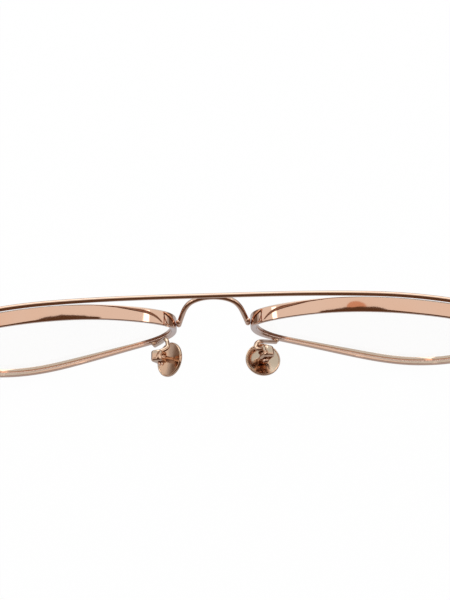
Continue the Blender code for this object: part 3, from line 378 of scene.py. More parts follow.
class Front:
    """The settings, the lens's outline and the bent surface on which the front's pieces lie."""

    def __init__(self, scene):
        self.sizes = sizes = scene.sunglasses_front
        self.hinge = scene.sunglasses_hinge
        self.temple = scene.sunglasses_temple
        self.pads = scene.sunglasses_pads
        self.finish = scene.sunglasses_finishes
        self.fineness = scene.sunglasses_fineness
        self.outer = sizes.rim_wall - sizes.rim_lip
        box = np.array([sizes.lens_width, sizes.lens_height])
        points = closed_spline(np.array(LENS_OUTLINE) * box, OUTLINE_STEPS)
        self.outline = Line([*points, points[0]])
        self.length = self.outline.length
        half = sizes.lens_width / 2
        sag = sizes.lens_radius - math.sqrt(sizes.lens_radius ** 2 - half ** 2)
        across = half * math.cos(sizes.face_wrap) + sag * math.sin(sizes.face_wrap)
        self.centre = Vector((sizes.lens_spacing / 2 + across, sizes.lens_setback,
                              -sizes.lens_top_drop - sizes.lens_height / 2))

    def point(self, distance):
        """Place on the lens's outline at a distance from the closing block."""
        return self.outline.point(distance % self.length)

    def outward(self, distance):
        """Direction away from the lens, square to its outline."""
        step = self.length / 1200
        along = (self.point(distance + step) - self.point(distance - step)).normalized()
        return Vector((along.y, -along.x))

    def place(self, distance):
        """A section's place on the flat outline: its X points outwards, its Y forwards."""
        spot = self.point(distance)
        out = self.outward(distance)
        return Matrix(((out.x, 0, out.y, spot.x), (out.y, 0, -out.x, spot.y),
                       (0, 1, 0, 0), (0, 0, 0, 1)))

    def nose_side_at(self, drop):
        """Distance at which the outline's nose side passes a height below the bar."""
        count = len(self.outline.points) - 1
        half = slice(count // 2, count * 4 // 5)
        heights = self.outline.points[half, 1]
        order = np.argsort(heights)
        height = -drop - self.centre.z
        return float(np.interp(height, heights[order], self.outline.at[half][order]))

    def bent(self, side, flat):
        """World place of a flat point, lifted forwards off the lens's sphere by its Z."""
        radius = self.sizes.lens_radius
        inward = math.sqrt(radius ** 2 - flat[0] ** 2 - flat[1] ** 2)
        scale = (radius + flat[2]) / radius
        local = Vector((flat[0] * scale, radius - inward * scale, flat[1] * scale))
        local.rotate(Matrix.Rotation(self.sizes.face_wrap, 3, "Z"))
        spot = self.centre + local
        return Vector((spot.x * side, spot.y, spot.z)) + BAR_CENTRE

    def beside(self, side, distance, outward, forward):
        """World place beside the lens's edge."""
        flat = self.point(distance) + self.outward(distance) * outward
        return self.bent(side, (flat.x, flat.y, forward))

    def bend(self, bm, side):
        """Bends a flat model onto the front."""
        for vertex in bm.verts:
            vertex.co = self.bent(side, vertex.co)

    def depth(self, distance):
        """The rim is deepest along its top and tapers to its lower part."""
        sizes = self.sizes
        spot = self.point(distance)
        lower = smooth_step(spot.x / sizes.lens_width, *NOSE_TAPER,
                            sizes.rim_depth_nose, sizes.rim_depth_bottom)
        return smooth_step(spot.y / sizes.lens_height, *TOP_TAPER, lower, sizes.rim_depth_top)

    def crowned(self, distance):
        """How far the crown has set in: 0 at the temples, 1 beyond its start."""
        start = self.sizes.crown_start
        return smooth_step(distance, start, start * 1.5)

    def face(self, distance, forward):
        """The rim's outer face off the lens's edge; it leans less than the lens does."""
        lean = self.point(distance).dot(self.outward(distance)) / self.sizes.lens_radius
        upright = (1 - self.sizes.rim_upright) * self.crowned(distance)
        return self.outer - (1 - upright) * lean * forward

    def split(self, side):
        """Middle of the rim screw, with its direction and the one away from the rim."""
        sizes = self.sizes
        reach = self.outer + sizes.solder_gap + sizes.block_reach / 2
        centre = self.beside(side, 0.0, reach, 0.0)
        up = (self.beside(side, sizes.block_height, reach, 0.0) - centre).normalized()
        out = (self.beside(side, 0.0, reach + sizes.block_reach, 0.0) - centre).normalized()
        return centre, up, out

    def bored_block(self, bm, side, depth):
        """A closing block with the rim screw's hole."""
        centre, up, _ = self.split(side)
        radius = self.sizes.rim_screw_radius + self.sizes.screw_clearance
        return bored(bm, facing(centre, up, ACROSS), radius, depth)

    def lug(self, side):
        """Middle of the lug's straight part, at the height of the hinge."""
        centre = self.split(side)[0]
        face = self.beside(side, 0.0, self.outer, 0.0)
        return Vector((face.x + side * self.hinge.lug_outset, centre.y,
                       centre.z + self.hinge.lug_rise))

    def hinge_axis(self, side):
        """Middle of the hinge's knuckles."""
        spot = self.lug(side)
        inset = self.temple.thickness / 2 + self.sizes.solder_gap + self.hinge.knuckle_radius
        return Vector((spot.x - side * inset, spot.y + self.hinge.setback, spot.z))

    def pad_frame(self, side, swung=False):
        """Pad screw's middle, with the directions along it, to the pad box's back and across."""
        pads = self.pads
        pivot_x, nod, swing = ((pads.left_pivot_x, pads.left_nod, pads.left_swing) if side > 0
                               else (pads.right_pivot_x, pads.right_nod, pads.right_swing))
        pivot = Vector((side * pivot_x, pads.setback, -pads.drop)) + BAR_CENTRE
        upright = Vector((side * math.sin(pads.box_turn), 0, math.cos(pads.box_turn)))
        across = Vector((side * math.cos(pads.box_turn), 0, -math.sin(pads.box_turn)))
        axis = upright * math.sin(nod) + BACK * math.cos(nod)
        back = across.cross(axis) * side
        if swung:
            cos, sin = math.cos(swing), math.sin(swing)
            back, across = back * cos + across * sin, across * cos - back * sin
        return pivot, axis, back, across

    def pad_box(self):
        """Half widths of the slot in the pad box and of the whole box."""
        slot = self.pads.tab_thickness / 2 + self.sizes.solder_gap
        return slot, slot + self.pads.ear_thickness


def facing(centre, axis, across):
    """A place whose Z is along the axis and whose X is across."""
    axis = axis.normalized()
    across = (across - axis * across.dot(axis)).normalized()
    place = Matrix((across, axis.cross(across), axis)).transposed().to_4x4()
    place.translation = centre
    return place


def bevel(bm, geometry, width, segments, affect="VERTICES"):
    """Rounds corners, or edges."""
    bmesh.ops.bevel(bm, geom=geometry, offset=width, offset_type="OFFSET", segments=segments,
                    profile=0.5, affect=affect, clamp_overlap=True, material=-1)


def ease_edges(bm, width, segments):
    """Rounds a solid's sharp edges."""
    bmesh.ops.recalc_face_normals(bm, faces=bm.faces[:])
    sharp = [edge for edge in bm.edges
             if len(edge.link_faces) == 2 and edge.calc_face_angle() > SHARP]
    bevel(bm, sharp, width, segments, "EDGES")


def first_face(bm):
    """The first face of a model, which is its only one so far."""
    bm.faces.ensure_lookup_table()
    return bm.faces[0]


def new_face(bm, corners, rounding=0.0, segments=5):
    """A flat face from its corners, which are rounded."""
    face = bm.faces.new([bm.verts.new((*corner, 0.0)) for corner in corners])
    if rounding:
        bevel(bm, face.verts[:], rounding, segments)
    return first_face(bm)


def extruded(bm, face, keep=False):
    """A copy of a face, joined to its edges by a skin; the face goes unless it is an end."""
    result = bmesh.ops.extrude_face_region(bm, geom=[face], use_keep_orig=True)
    if not keep:
        bmesh.ops.delete(bm, geom=[face], context="FACES_ONLY")
    return [item for item in result["geom"] if isinstance(item, bmesh.types.BMFace)][0]


def sweep(bm, face, places, adjust=None):
    """Carries a section, drawn flat round the origin, through places and leaves its skin."""
    bmesh.ops.transform(bm, matrix=places[0], verts=face.verts[:])
    if adjust:
        adjust(face, 0)
    for number, (near, far) in enumerate(zip(places, places[1:]), 1):
        face = extruded(bm, face, number == 1)
        bmesh.ops.transform(bm, matrix=far @ near.inverted(), verts=face.verts[:])
        if adjust:
            adjust(face, number)


def wire(points, radius, sides, domed=True):
    """A round wire along a line of points, with rounded or with flat ends."""
    places = []
    across = None
    for index, point in enumerate(points):
        ahead = points[min(index + 1, len(points) - 1)] - points[max(index - 1, 0)]
        ahead.normalize()
        if across is None:
            across = ahead.orthogonal()
        across = (across - ahead * across.dot(ahead)).normalized()
        places.append(facing(point, ahead, across))
    if domed:
        turns = np.linspace(0.0, QUARTER, 7)[1:-1]
        start, end = [[tip @ Matrix.Translation((0, 0, away * radius * math.sin(turn)))
                       @ Matrix.Diagonal((math.cos(turn), math.cos(turn), 1, 1)) for turn in turns]
                      for tip, away in ((places[0], -1), (places[-1], 1))]
        places = start[::-1] + places + end
    bm = bmesh.new()
    bmesh.ops.create_circle(bm, cap_ends=True, segments=sides, radius=radius)
    sweep(bm, first_face(bm), places)
    return bm


def turned(profile, place, sides):
    """A turned solid from (radius, height) pairs that start and end on its axis."""
    bm = bmesh.new()
    line = [bm.verts.new((radius, 0.0, height)) for radius, height in profile]
    edges = [bm.edges.new(pair) for pair in zip(line, line[1:])]
    bmesh.ops.spin(bm, geom=line + edges, cent=(0, 0, 0), axis=(0, 0, 1), angle=math.tau,
                   steps=sides, use_merge=True)
    bmesh.ops.remove_doubles(bm, verts=bm.verts[:], dist=HAIR)
    bmesh.ops.transform(bm, matrix=place, verts=bm.verts[:])
    return bm


def slab(corners, thickness, place, edge=0.0):
    """A plate with eased edges, centred on its place."""
    bm = bmesh.new()
    face = new_face(bm, corners)
    bmesh.ops.translate(bm, vec=(0, 0, -thickness / 2), verts=face.verts[:])
    top = extruded(bm, face, True)
    bmesh.ops.translate(bm, vec=(0, 0, thickness), verts=top.verts[:])
    if edge:
        ease_edges(bm, edge, 3)
    bmesh.ops.transform(bm, matrix=place, verts=bm.verts[:])
    return bm


def cuboid(place, *size):
    """A cuboid centred on its place."""
    bm = bmesh.new()
    bmesh.ops.create_cube(bm, size=1.0, matrix=place @ Matrix.Diagonal((*size, 1.0)))
    return bm


def new_object(name, data):
    """An object in the scene, from its data or from a bmesh, which is freed."""
    if isinstance(data, bmesh.types.BMesh):
        bm = data
        data = bpy.data.meshes.new(name)
        bm.to_mesh(data)
        bm.free()
    result = bpy.data.objects.new(name, data)
    bpy.context.collection.objects.link(result)
    return result


def carve(bm, tool, operation="DIFFERENCE"):
    """The first solid with the second cut out of it, or joined on."""
    for solid in (bm, tool):
        bmesh.ops.recalc_face_normals(solid, faces=solid.faces[:])
    target, cutter = new_object("carved", bm), new_object("cutter", tool)
    modifier = target.modifiers.new("Carve", "BOOLEAN")
    modifier.operation = operation
    modifier.object = cutter
    modifier.solver = "EXACT"
    evaluated = target.evaluated_get(bpy.context.evaluated_depsgraph_get())
    mesh = bpy.data.meshes.new_from_object(evaluated)
    result = bmesh.new()
    result.from_mesh(mesh)
    for spare in (target, cutter):
        bpy.data.objects.remove(spare, do_unlink=True)
    bpy.data.meshes.remove(mesh)
    bmesh.ops.remove_doubles(result, verts=result.verts[:], dist=MERGED)
    return result


def bored(bm, place, radius, depth, sides=SMALL_SIDES):
    """The solid with a round hole along its place's Z."""
    hole = bmesh.new()
    bmesh.ops.create_cone(hole, cap_ends=True, segments=sides, radius1=radius, radius2=radius,
                          depth=depth, matrix=place)
    return carve(bm, hole)


def add_piece(name, bm, material, body, nodes, crease=32.0):
    """Finishes a piece: smooth faces, its material, and the body and node it stands for."""
    if not all(edge.is_manifold for edge in bm.edges):
        raise RuntimeError(name + " has an open or an inner face")
    bmesh.ops.recalc_face_normals(bm, faces=bm.faces[:])
    if bm.calc_volume(signed=True) < 0:
        bmesh.ops.reverse_faces(bm, faces=bm.faces[:])
    piece = new_object(name, bm)
    piece.data.shade_smooth()
    piece.data.set_sharp_from_angle(angle=math.radians(crease))
    piece.data.materials.append(material)
    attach(piece, body)
    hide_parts(*nodes)


class Link:
    """A node's output; arithmetic on it adds Math nodes."""

    def __init__(self, nodes, socket):
        self.nodes = nodes
        self.socket = socket

    def math(self, operation, *values):
        """The result of a Math node."""
        return self.nodes.add("Math", dict(enumerate(values)), operation=operation)

    def __add__(self, other):
        return self.math("ADD", self, other)

    def __mul__(self, other):
        return self.math("MULTIPLY", self, other)

    def __sub__(self, other):
        return self.math("SUBTRACT", self, other)

    def __rsub__(self, other):
        return self.math("SUBTRACT", other, self)

    def __abs__(self):
        return self.math("ABSOLUTE", self)

    __radd__ = __add__
    __rmul__ = __mul__

    def over(self, low, high):
        """1 where the value is above the limit, with a soft step."""
        return self.nodes.add("MapRange", {"Value": self, "From Min": low, "From Max": high},
                              interpolation_type="SMOOTHSTEP")

    def under(self, low, high):
        """1 where the value is below the limit, with a soft step."""
        return 1 - self.over(low, high)


class Nodes:
    """The nodes of one material or world."""

    def __init__(self, tree):
        self.tree = tree
        tree.nodes.clear()

    def add(self, kind, values=None, output=0, **settings):
        """Adds a node with its settings and its values or links, and gives one of its outputs."""
        node = self.tree.nodes.new("ShaderNode" + kind)
        for key, value in settings.items():
            setattr(node, key, value)
        for key, value in (values or {}).items():
            if isinstance(value, Link):
                self.tree.links.new(value.socket, node.inputs[key])
            else:
                node.inputs[key].default_value = value
        return Link(self, node.outputs[output]) if node.outputs else None

    def mix(self, factor, *tones):
        """A colour between two colours, which are links or have three numbers."""
        first, second = [tone if isinstance(tone, Link) else (*tone, 1) for tone in tones]
        return self.add("Mix", {0: factor, 6: first, 7: second}, 2, data_type="RGBA")

    def noise(self, place, scale, detail=3.0, stretch=(1, 1, 1)):
        """Noise from 0 to 1 on stretched coordinates."""
        mapped = self.add("Mapping", {"Vector": place, "Scale": stretch})
        return self.add("TexNoise", {"Vector": mapped, "Scale": scale, "Detail": detail})

    def split(self, vector):
        """The X and the Y of a vector."""
        return [self.add("SeparateXYZ", {0: vector}, axis) for axis in "XY"]


def new_material(name):
    """An empty node material, its nodes and the place on the object."""
    material = bpy.data.materials.new(name)
    material.use_nodes = True
    nodes = Nodes(material.node_tree)
    return material, nodes, nodes.add("TexCoord", output="Object")


def polished_plating(name, finish, satin=False):
    """Rose-gold plating with a faint grain of the polishing wheel: a mirror, or browner satin."""
    if name in bpy.data.materials:
        return bpy.data.materials[name]
    material, nodes, place = new_material(name)
    cloud = nodes.noise(place, 55.0, 2.0)
    grit = nodes.noise(place, 2400.0)
    tones = (finish.satin, finish.satin_warm) if satin else (finish.plating, finish.plating_warm)
    polish = finish.satin_roughness if satin else finish.plating_roughness
    bump = nodes.add("Bump", {"Strength": 0.02, "Distance": 0.00002, "Height": grit})
    shader = nodes.add("BsdfPrincipled", {
        "Base Color": nodes.mix(cloud.over(0.40, 0.75), *tones), "Metallic": 1.0,
        "Roughness": polish * (0.7 + 0.6 * cloud) + 0.02 * grit, "Normal": bump})
    nodes.add("OutputMaterial", {"Surface": shader})
    return material


def clear_lens(name, front):
    """Clear lens with a very pale rose tint and a ground bevel, with as light a shadow."""
    finish, radius = front.finish, front.sizes.lens_radius
    material, nodes, place = new_material(name)
    smear = nodes.noise(place, 40.0, 2.0)
    glaze = nodes.add("BsdfGlossy", {"Color": (*WHITE, 1), "Roughness": 0.01 + 0.01 * smear})
    through = nodes.add("BsdfTransparent", {"Color": (*finish.lens_tint, 1)})
    gloss = finish.lens_gloss * nodes.add("Fresnel", {"IOR": 1.5})
    pane = nodes.add("MixShader", {0: gloss, 1: through, 2: glaze})
    # Only the bevel lies near the sphere through the lens's middle; |x| and |y| fit both lenses
    middle = front.bent(1, (0.0, 0.0, -radius))
    folded = nodes.add("VectorMath", {0: place}, operation="ABSOLUTE")
    away = nodes.add("VectorMath", {0: folded, 1: (middle.x, -middle.y, middle.z)}, 1,
                     operation="DISTANCE")
    grain = nodes.noise(place, 900.0)
    soft = 0.00004
    edge = (abs(away - radius) + soft * grain).under(finish.bevel_reach, finish.bevel_reach + soft)
    tone = nodes.mix(grain, finish.bevel, finish.bevel_shade)
    ground = nodes.add("BsdfDiffuse", {"Color": tone, "Roughness": 0.8})
    shader = nodes.add("MixShader", {0: edge, 1: pane, 2: ground})
    nodes.add("OutputMaterial", {"Surface": shader})
    return material


def mottled_plastic(name, finish):
    """Glossy brown plastic with amber mottling inside."""
    material, nodes, place = new_material(name)
    patches = nodes.noise(place, 95.0, 4.0, (1.0, 0.55, 0.8))
    streaks = nodes.noise(place, 420.0, 3.0, (1.0, 0.35, 0.6))
    mask = (0.75 * patches + 0.25 * streaks).over(0.50, 0.66)
    waves = nodes.noise(place, 300.0, 2.0)
    bump = nodes.add("Bump", {"Strength": 0.05, "Distance": 0.0001, "Height": waves})
    shader = nodes.add("BsdfPrincipled", {
        "Base Color": nodes.mix(mask, finish.tip_dark, finish.tip_amber),
        "Roughness": 0.10 + 0.08 * waves, "IOR": 1.5, "Coat Weight": 0.6,
        "Coat Roughness": 0.04, "Normal": bump})
    nodes.add("OutputMaterial", {"Surface": shader})
    return material


class SUNGLASSES_OT_rims(bpy.types.Operator):
    """Models the two grooved rims, crowned outside and split at the closing blocks"""
    bl_idname = "sunglasses.rims"
    bl_label = "Rims"

    def section(self, bm, sizes, outer):
        """The rim's section at its least depth, X outwards and Y forwards, and its layers."""
        half = sizes.rim_depth_nose / 2
        lip = -sizes.rim_lip
        mouth = sizes.lens_thickness / 2 * (1 + lip / sizes.lens_bevel) + sizes.lens_gap
        new_face(bm, [(outer, -half), (outer, half), (lip, half), (lip, mouth),
                      (sizes.lens_gap, 0.0), (lip, -mouth), (lip, -half)])
        for edge, rounding in ((outer, sizes.rim_rounding), (lip, sizes.lip_rounding)):
            bevel(bm, [vertex for vertex in bm.verts if abs(vertex.co.x - edge) < HAIR
                       and abs(vertex.co.y) > half - HAIR], rounding, 4)
        flat = [edge for edge in bm.edges if min(v.co.x for v in edge.verts) > outer - HAIR]
        bmesh.ops.subdivide_edges(bm, edges=flat, cuts=9)
        layers = [bm.verts.layers.float.new(name)
                  for name in ("outwards", "forwards", "spread", "skin", "crown")]
        straight = half - sizes.rim_rounding
        for vertex in bm.verts:
            x, y = vertex.co.xy
            values = (x, y, math.copysign(1.0, y) if abs(y) > mouth * 1.01 else 0.0, 0.0, 0.0)
            if x > 0.5 * outer:
                share = max(min(y / straight, 1.0), -1.0)
                values = (x, y, share, 1.0, sizes.rim_crown * (1 - share ** 2))
            for layer, value in zip(layers, values):
                vertex[layer] = value
        return first_face(bm), layers

    def execute(self, context):
        front = Front(context.scene)
        sizes = front.sizes
        seam, width, start = sizes.seam_distance, sizes.seam_width / 2, sizes.rim_split / 2
        distances = [distance for distance
                     in np.linspace(start, front.length - start, front.fineness.rim_steps)
                     if abs(distance - seam) > 3 * width]
        distances += [seam + width * step for step in (-2, -1.1, -0.9, 0.9, 1.1, 2)]
        distances.sort()
        metal = polished_plating("rim_plating", front.finish)
        for word, side in SIDES:
            bm = bmesh.new()
            face, layers = self.section(bm, sizes, front.outer)

            def shape(cap, number):
                """Gives the section its depth and lean here, and presses in the fine seam."""
                distance = distances[number]
                deeper = (front.depth(distance) - sizes.rim_depth_nose) / 2
                pressed = sizes.seam_depth if abs(distance - seam) < width else 0.0
                lean = front.outer - front.face(distance, 1.0)
                crowned = front.crowned(distance)
                place = front.place(distance)
                for vertex in cap.verts:
                    x, y, spread, skin, crown = [vertex[layer] for layer in layers]
                    y += spread * deeper
                    x += crown * crowned - skin * (lean * y + pressed)
                    vertex.co = place @ Vector((x, y, 0))

            sweep(bm, face, [front.place(distance) for distance in distances], shape)
            front.bend(bm, side)
            add_piece(word + "_eye_wire", bm, metal, "front", [word + "_rim"], 40.0)
        return {"FINISHED"}


class SUNGLASSES_OT_lenses(bpy.types.Operator):
    """Models the two curved lenses with a ground bevel that seats in the rims' grooves"""
    bl_idname = "sunglasses.lenses"
    bl_label = "Lenses"

    def execute(self, context):
        front = Front(context.scene)
        sizes = front.sizes
        half = sizes.lens_thickness / 2
        bevelled = 1 - 2 * sizes.lens_bevel / sizes.lens_width
        shares = (1, 0.97, 0.9, 0.8, 0.7, 0.58, 0.46, 0.34, 0.22, 0.1)
        rings = [bevelled * share for share in shares]
        steps = front.fineness.rim_steps
        outline = [front.point(front.length * step / steps) for step in range(steps)]
        glass = clear_lens("lens_glass", front)
        for word, side in SIDES:
            bm = bmesh.new()
            edge = new_face(bm, outline)
            for height in (half, -half):
                face = edge
                for before, ring in zip([1.0] + rings, rings):
                    face = extruded(bm, face, height > 0 and before == 1.0)
                    scale = ring / before
                    bmesh.ops.scale(bm, vec=(scale, scale, 1.0), verts=face.verts[:])
                    if before == 1.0:
                        bmesh.ops.translate(bm, vec=(0, 0, height), verts=face.verts[:])
                bmesh.ops.poke(bm, faces=[face])
            front.bend(bm, side)
            add_piece(word + "_clear_lens", bm, glass, "front", [word + "_lens"],
                      25.0)
        return {"FINISHED"}


class SUNGLASSES_OT_brow_bar(bpy.types.Operator):
    """Models the straight brow bar that runs on along both rims"""
    bl_idname = "sunglasses.brow_bar"
    bl_label = "Brow bar"

    def execute(self, context):
        front = Front(context.scene)
        sizes = front.sizes

        def seat(distance):
            """Middle of the bar where it lies along the rim."""
            forward = front.depth(distance) / 2 + sizes.solder_gap + sizes.bar_radius
            outward = front.outer - sizes.bar_below_rim
            return front.beside(1, distance, outward, forward) - BAR_CENTRE

        start = end = sizes.rim_split / 2 + sizes.block_height + sizes.seat_gap * 2
        step = sizes.lens_width / 40
        while seat(end + step).x > sizes.bar_free_span:
            end += step
        last = seat(end)
        slope = seat(end - step) - last
        slope /= slope.x
        half = [seat(distance) for distance in np.linspace(start + sizes.bar_radius, end, 90)]
        for share in np.linspace(1.0, 0.0, 60)[1:]:
            rise = share ** 2 * (3 - 2 * share)
            lean = (share ** 3 - share ** 2) * last.x
            half.append(Vector((last.x * share, last.y * rise + slope.y * lean,
                                last.z * rise + slope.z * lean)))
        bm = wire(Line(mirrored(half)).even(BAR_STEPS), sizes.bar_radius, front.fineness.wire_sides)
        metal = polished_plating("bar_plating", front.finish)
        add_piece("top_bar", bm, metal, "front", ["brow_bar"])
        return {"FINISHED"}


class SUNGLASSES_OT_nose_bridge(bpy.types.Operator):
    """Models the lower bridge, an arch that rises forwards from the rims"""
    bl_idname = "sunglasses.nose_bridge"
    bl_label = "Nose bridge"

    def execute(self, context):
        front = Front(context.scene)
        sizes = front.sizes
        distance = front.nose_side_at(sizes.bridge_foot_drop)
        radius = sizes.bridge_radius
        outward = front.face(distance, -radius) + sizes.solder_gap + radius
        foot = front.beside(1, distance, outward, 0.0) - BAR_CENTRE
        rise = sizes.bridge_foot_drop - sizes.bridge_drop
        half = [Vector((foot.x * across, foot.y - sizes.bridge_forward * ahead, foot.z + rise * up))
                for across, ahead, up in reversed(BRIDGE_LINE)]
        half.insert(0, half[0] + (half[0] - half[1]).normalized() * sizes.bridge_root)
        bm = wire(open_spline(mirrored(half), BRIDGE_STEPS), radius, front.fineness.wire_sides)
        above = distance - sizes.bead_rise
        outward = front.face(above, 0.0) + sizes.solder_gap + sizes.bead_radius
        for _, side in SIDES:
            bead = bmesh.new()
            place = Matrix.Translation(front.beside(side, above, outward, 0.0))
            bmesh.ops.create_uvsphere(bead, u_segments=32, v_segments=20,
                                      radius=sizes.bead_radius, matrix=place)
            bm = carve(bm, bead, "UNION")
        metal = polished_plating("bridge_plating", front.finish)
        add_piece("lower_arch", bm, metal, "front", ["nose_bridge"])
        return {"FINISHED"}


def closing_block(front, side, start, end):
    """A closing block that follows the rim's outer face between two distances."""
    sizes = front.sizes
    outer = front.outer + sizes.solder_gap + sizes.block_reach
    half = sizes.block_depth / 2
    ahead, behind = [front.face(start, forward) + sizes.solder_gap for forward in (half, -half)]
    bm = bmesh.new()
    face = new_face(bm, [(behind, -half), (outer, -half), (outer, half), (ahead, half)])
    corners = [vertex for vertex in face.verts if vertex.co.x > outer - HAIR]
    bevel(bm, corners, sizes.block_reach / 5, 5)
    places = [front.place(distance) for distance in np.linspace(start, end, BLOCK_STEPS)]
    sweep(bm, first_face(bm), places)
    front.bend(bm, side)
    ease_edges(bm, BLOCK_EDGE, 2)
    return bm


class SUNGLASSES_OT_end_pieces(bpy.types.Operator):
    """Models the end pieces, each a closing block with the lug that bends back to the hinge"""
    bl_idname = "sunglasses.end_pieces"
    bl_label = "End pieces"

    def execute(self, context):
        front = Front(context.scene)
        sizes, hinge = front.sizes, front.hinge
        metal = polished_plating("end_piece_plating", front.finish)
        start = sizes.rim_split / 2
        for word, side in SIDES:
            spot = front.lug(side)
            inner = spot.x - side * (hinge.lug_outset - sizes.solder_gap - hinge.lug_root)
            centre = spot + Vector((-side, 1, 0)) * hinge.lug_bend
            places = [facing(Vector((inner, spot.y, spot.z)), ACROSS * side, UP)]
            for turn in np.linspace(0.0, QUARTER, LUG_STEPS):
                away = Vector((side * math.sin(turn), -math.cos(turn), 0))
                ahead = Vector((side * math.cos(turn), math.sin(turn), 0))
                places.append(facing(centre + away * hinge.lug_bend, ahead, UP))
            end = front.hinge_axis(side).y - sizes.seat_gap / 2
            places.append(facing(Vector((spot.x, end, spot.z)), BACK, UP))
            lug = bmesh.new()
            thick = hinge.lug_thickness
            sweep(lug, new_face(lug, oblong(hinge.lug_height, thick), thick / 4), places)
            bm = closing_block(front, side, start, start + sizes.block_height)
            bm = carve(bm, lug, "UNION")
            deep = sizes.rim_split + 2 * (sizes.block_height - CLAMP_HOLE_FLOOR)
            bm = front.bored_block(bm, side, deep)
            add_piece(word + "_lug", bm, metal, "front", [word + "_end_piece"])
        return {"FINISHED"}


class SUNGLASSES_OT_closing_blocks(bpy.types.Operator):
    """Models the lower closing blocks that the rim screws draw up"""
    bl_idname = "sunglasses.closing_blocks"
    bl_label = "Closing blocks"

    def execute(self, context):
        front = Front(context.scene)
        metal = polished_plating("end_piece_plating", front.finish)
        end = front.length - front.sizes.rim_split / 2
        height = front.sizes.block_height
        for word, side in SIDES:
            bm = closing_block(front, side, end, end - height)
            bm = front.bored_block(bm, side, height * 4)
            add_piece(word + "_screw_block", bm, metal, "front", [word + "_closing_block"])
        return {"FINISHED"}


def slotted_screw(shank, head, height, foot, under, place, slot_turn):
    """A screw with a shank from its foot to under its slightly domed, slotted head."""
    edge = height / 4
    top = under + height
    profile = [(0.0, foot), (shank * 0.8, foot), (shank, foot + shank * 0.2), (shank, under),
               (head - edge / 2, under), (head, under + edge / 2)]
    profile += [(head * share, top - edge * drop) for share, drop in
                ((1.0, 1.4), (0.96, 0.7), (0.82, 0.25), (0.5, 0.05), (0.0, 0.0))]
    place_slot = Matrix.Rotation(slot_turn, 4, "Z") @ Matrix.Translation(UP * (top + height * 0.05))
    slot = cuboid(place @ place_slot, head * 3, head * 0.3, height)
    return carve(turned(profile, place, SCREW_SIDES), slot)


class SUNGLASSES_OT_screws(bpy.types.Operator):
    """Models the slotted rim, hinge and pad screws"""
    bl_idname = "sunglasses.screws"
    bl_label = "Screws"

    def clamp_screw(self, front, side):
        """The rim screw, whose head lies below the lower closing block."""
        sizes = front.sizes
        centre, up, out = front.split(side)
        half_split, head = sizes.rim_split / 2, sizes.rim_screw_head
        reach = front.outer + sizes.solder_gap + sizes.block_reach / 2 + head
        low = front.beside(side, -half_split - sizes.block_height, reach, 0.0)
        under = (centre - low).dot(up) + sizes.screw_clearance
        foot = CLAMP_FOOT_FLOOR - half_split - sizes.block_height
        return slotted_screw(sizes.rim_screw_radius, head, CLAMP_HEAD_HEIGHT, foot, under,
                             facing(centre, -up, out), 0.35)

    def hinge_pin(self, front, side):
        """The hinge screw, which runs through all knuckles."""
        hinge = front.hinge
        half = hinge.leaf_height / 2
        return slotted_screw(hinge.screw_radius, hinge.screw_head, hinge.screw_head_height, -half,
                             half + front.sizes.screw_clearance,
                             facing(front.hinge_axis(side), UP, ACROSS), 0.9)

    def pad_bolt(self, front, side):
        """The pad screw, which runs through the box's ears and the pad's tab."""
        pads = front.pads
        pivot, axis, _, across = front.pad_frame(side)
        slot, width = front.pad_box()
        return slotted_screw(pads.screw_radius, pads.screw_head, pads.screw_head_height,
                             -slot - pads.ear_thickness / 2, width + front.sizes.screw_clearance,
                             facing(pivot, axis, across), 1.1)

    def execute(self, context):
        front = Front(context.scene)
        metal = polished_plating("screw_plating", front.finish)
        for word, side in SIDES:
            for name, node, bm in (("_clamp_screw", "_rim_screw", self.clamp_screw(front, side)),
                                   ("_hinge_pin", "_hinge_screw", self.hinge_pin(front, side)),
                                   ("_pad_bolt", "_pad_screw", self.pad_bolt(front, side))):
                add_piece(word + name, bm, metal, "front", [word + node])
        return {"FINISHED"}


class SUNGLASSES_OT_hinges(bpy.types.Operator):
    """Models the hinge leaves with their knuckles"""
    bl_idname = "sunglasses.hinges"
    bl_label = "Hinges"

    def leaf(self, front, side, back):
        """A leaf with its knuckles: two outer ones in front, one middle one behind."""
        hinge = front.hinge
        axis = front.hinge_axis(side)
        radius, thick, top = hinge.knuckle_radius, hinge.leaf_thickness, hinge.leaf_height / 2
        near = radius * 0.35  # The leaf begins inside the knuckles
        middle = (near + hinge.leaf_length) / 2
        spot = axis + Vector((side * (radius - thick / 2), back * middle, 0))
        bm = slab(oblong(hinge.leaf_length - near, hinge.leaf_height), thick,
                  facing(spot, ACROSS * side, BACK), LEAF_EDGE)
        part = top / 3 - back * hinge.knuckle_gap / 2
        if back < 0:
            knuckles, hollows = [(-top, -part), (part, top)], [(-part, part)]
        else:
            knuckles, hollows = [(-part, part)], [(-top * 2, -part), (part, top * 2)]
        clear = 2 * (radius + front.sizes.seat_gap)
        for low, high in hollows:
            place = Matrix.Translation(axis + UP * ((low + high) / 2))
            bm = carve(bm, cuboid(place, clear, clear, high - low))
        ease = KNUCKLE_EDGE
        for low, high in knuckles:
            half = [(0.0, low), (radius - ease, low), (radius - ease / 3, low + ease / 3),
                    (radius, low + ease)]
            other = [(reach, low + high - height) for reach, height in reversed(half)]
            barrel = turned(half + other, Matrix.Translation(axis), KNUCKLE_SIDES)
            bm = carve(bm, barrel, "UNION")
        return bored(bm, Matrix.Translation(axis), hinge.screw_radius + front.sizes.screw_clearance,
                     hinge.leaf_height * 2, SCREW_SIDES)

    def execute(self, context):
        front = Front(context.scene)
        metal = polished_plating("hinge_plating", front.finish)
        for word, side in SIDES:
            add_piece(word + "_front_hinge", self.leaf(front, side, -1), metal, "front",
                      [word + "_front_leaf"])
            add_piece(word + "_temple_hinge", self.leaf(front, side, 1), metal,
                      word + "_temple_body", [word + "_temple_leaf"])
        return {"FINISHED"}


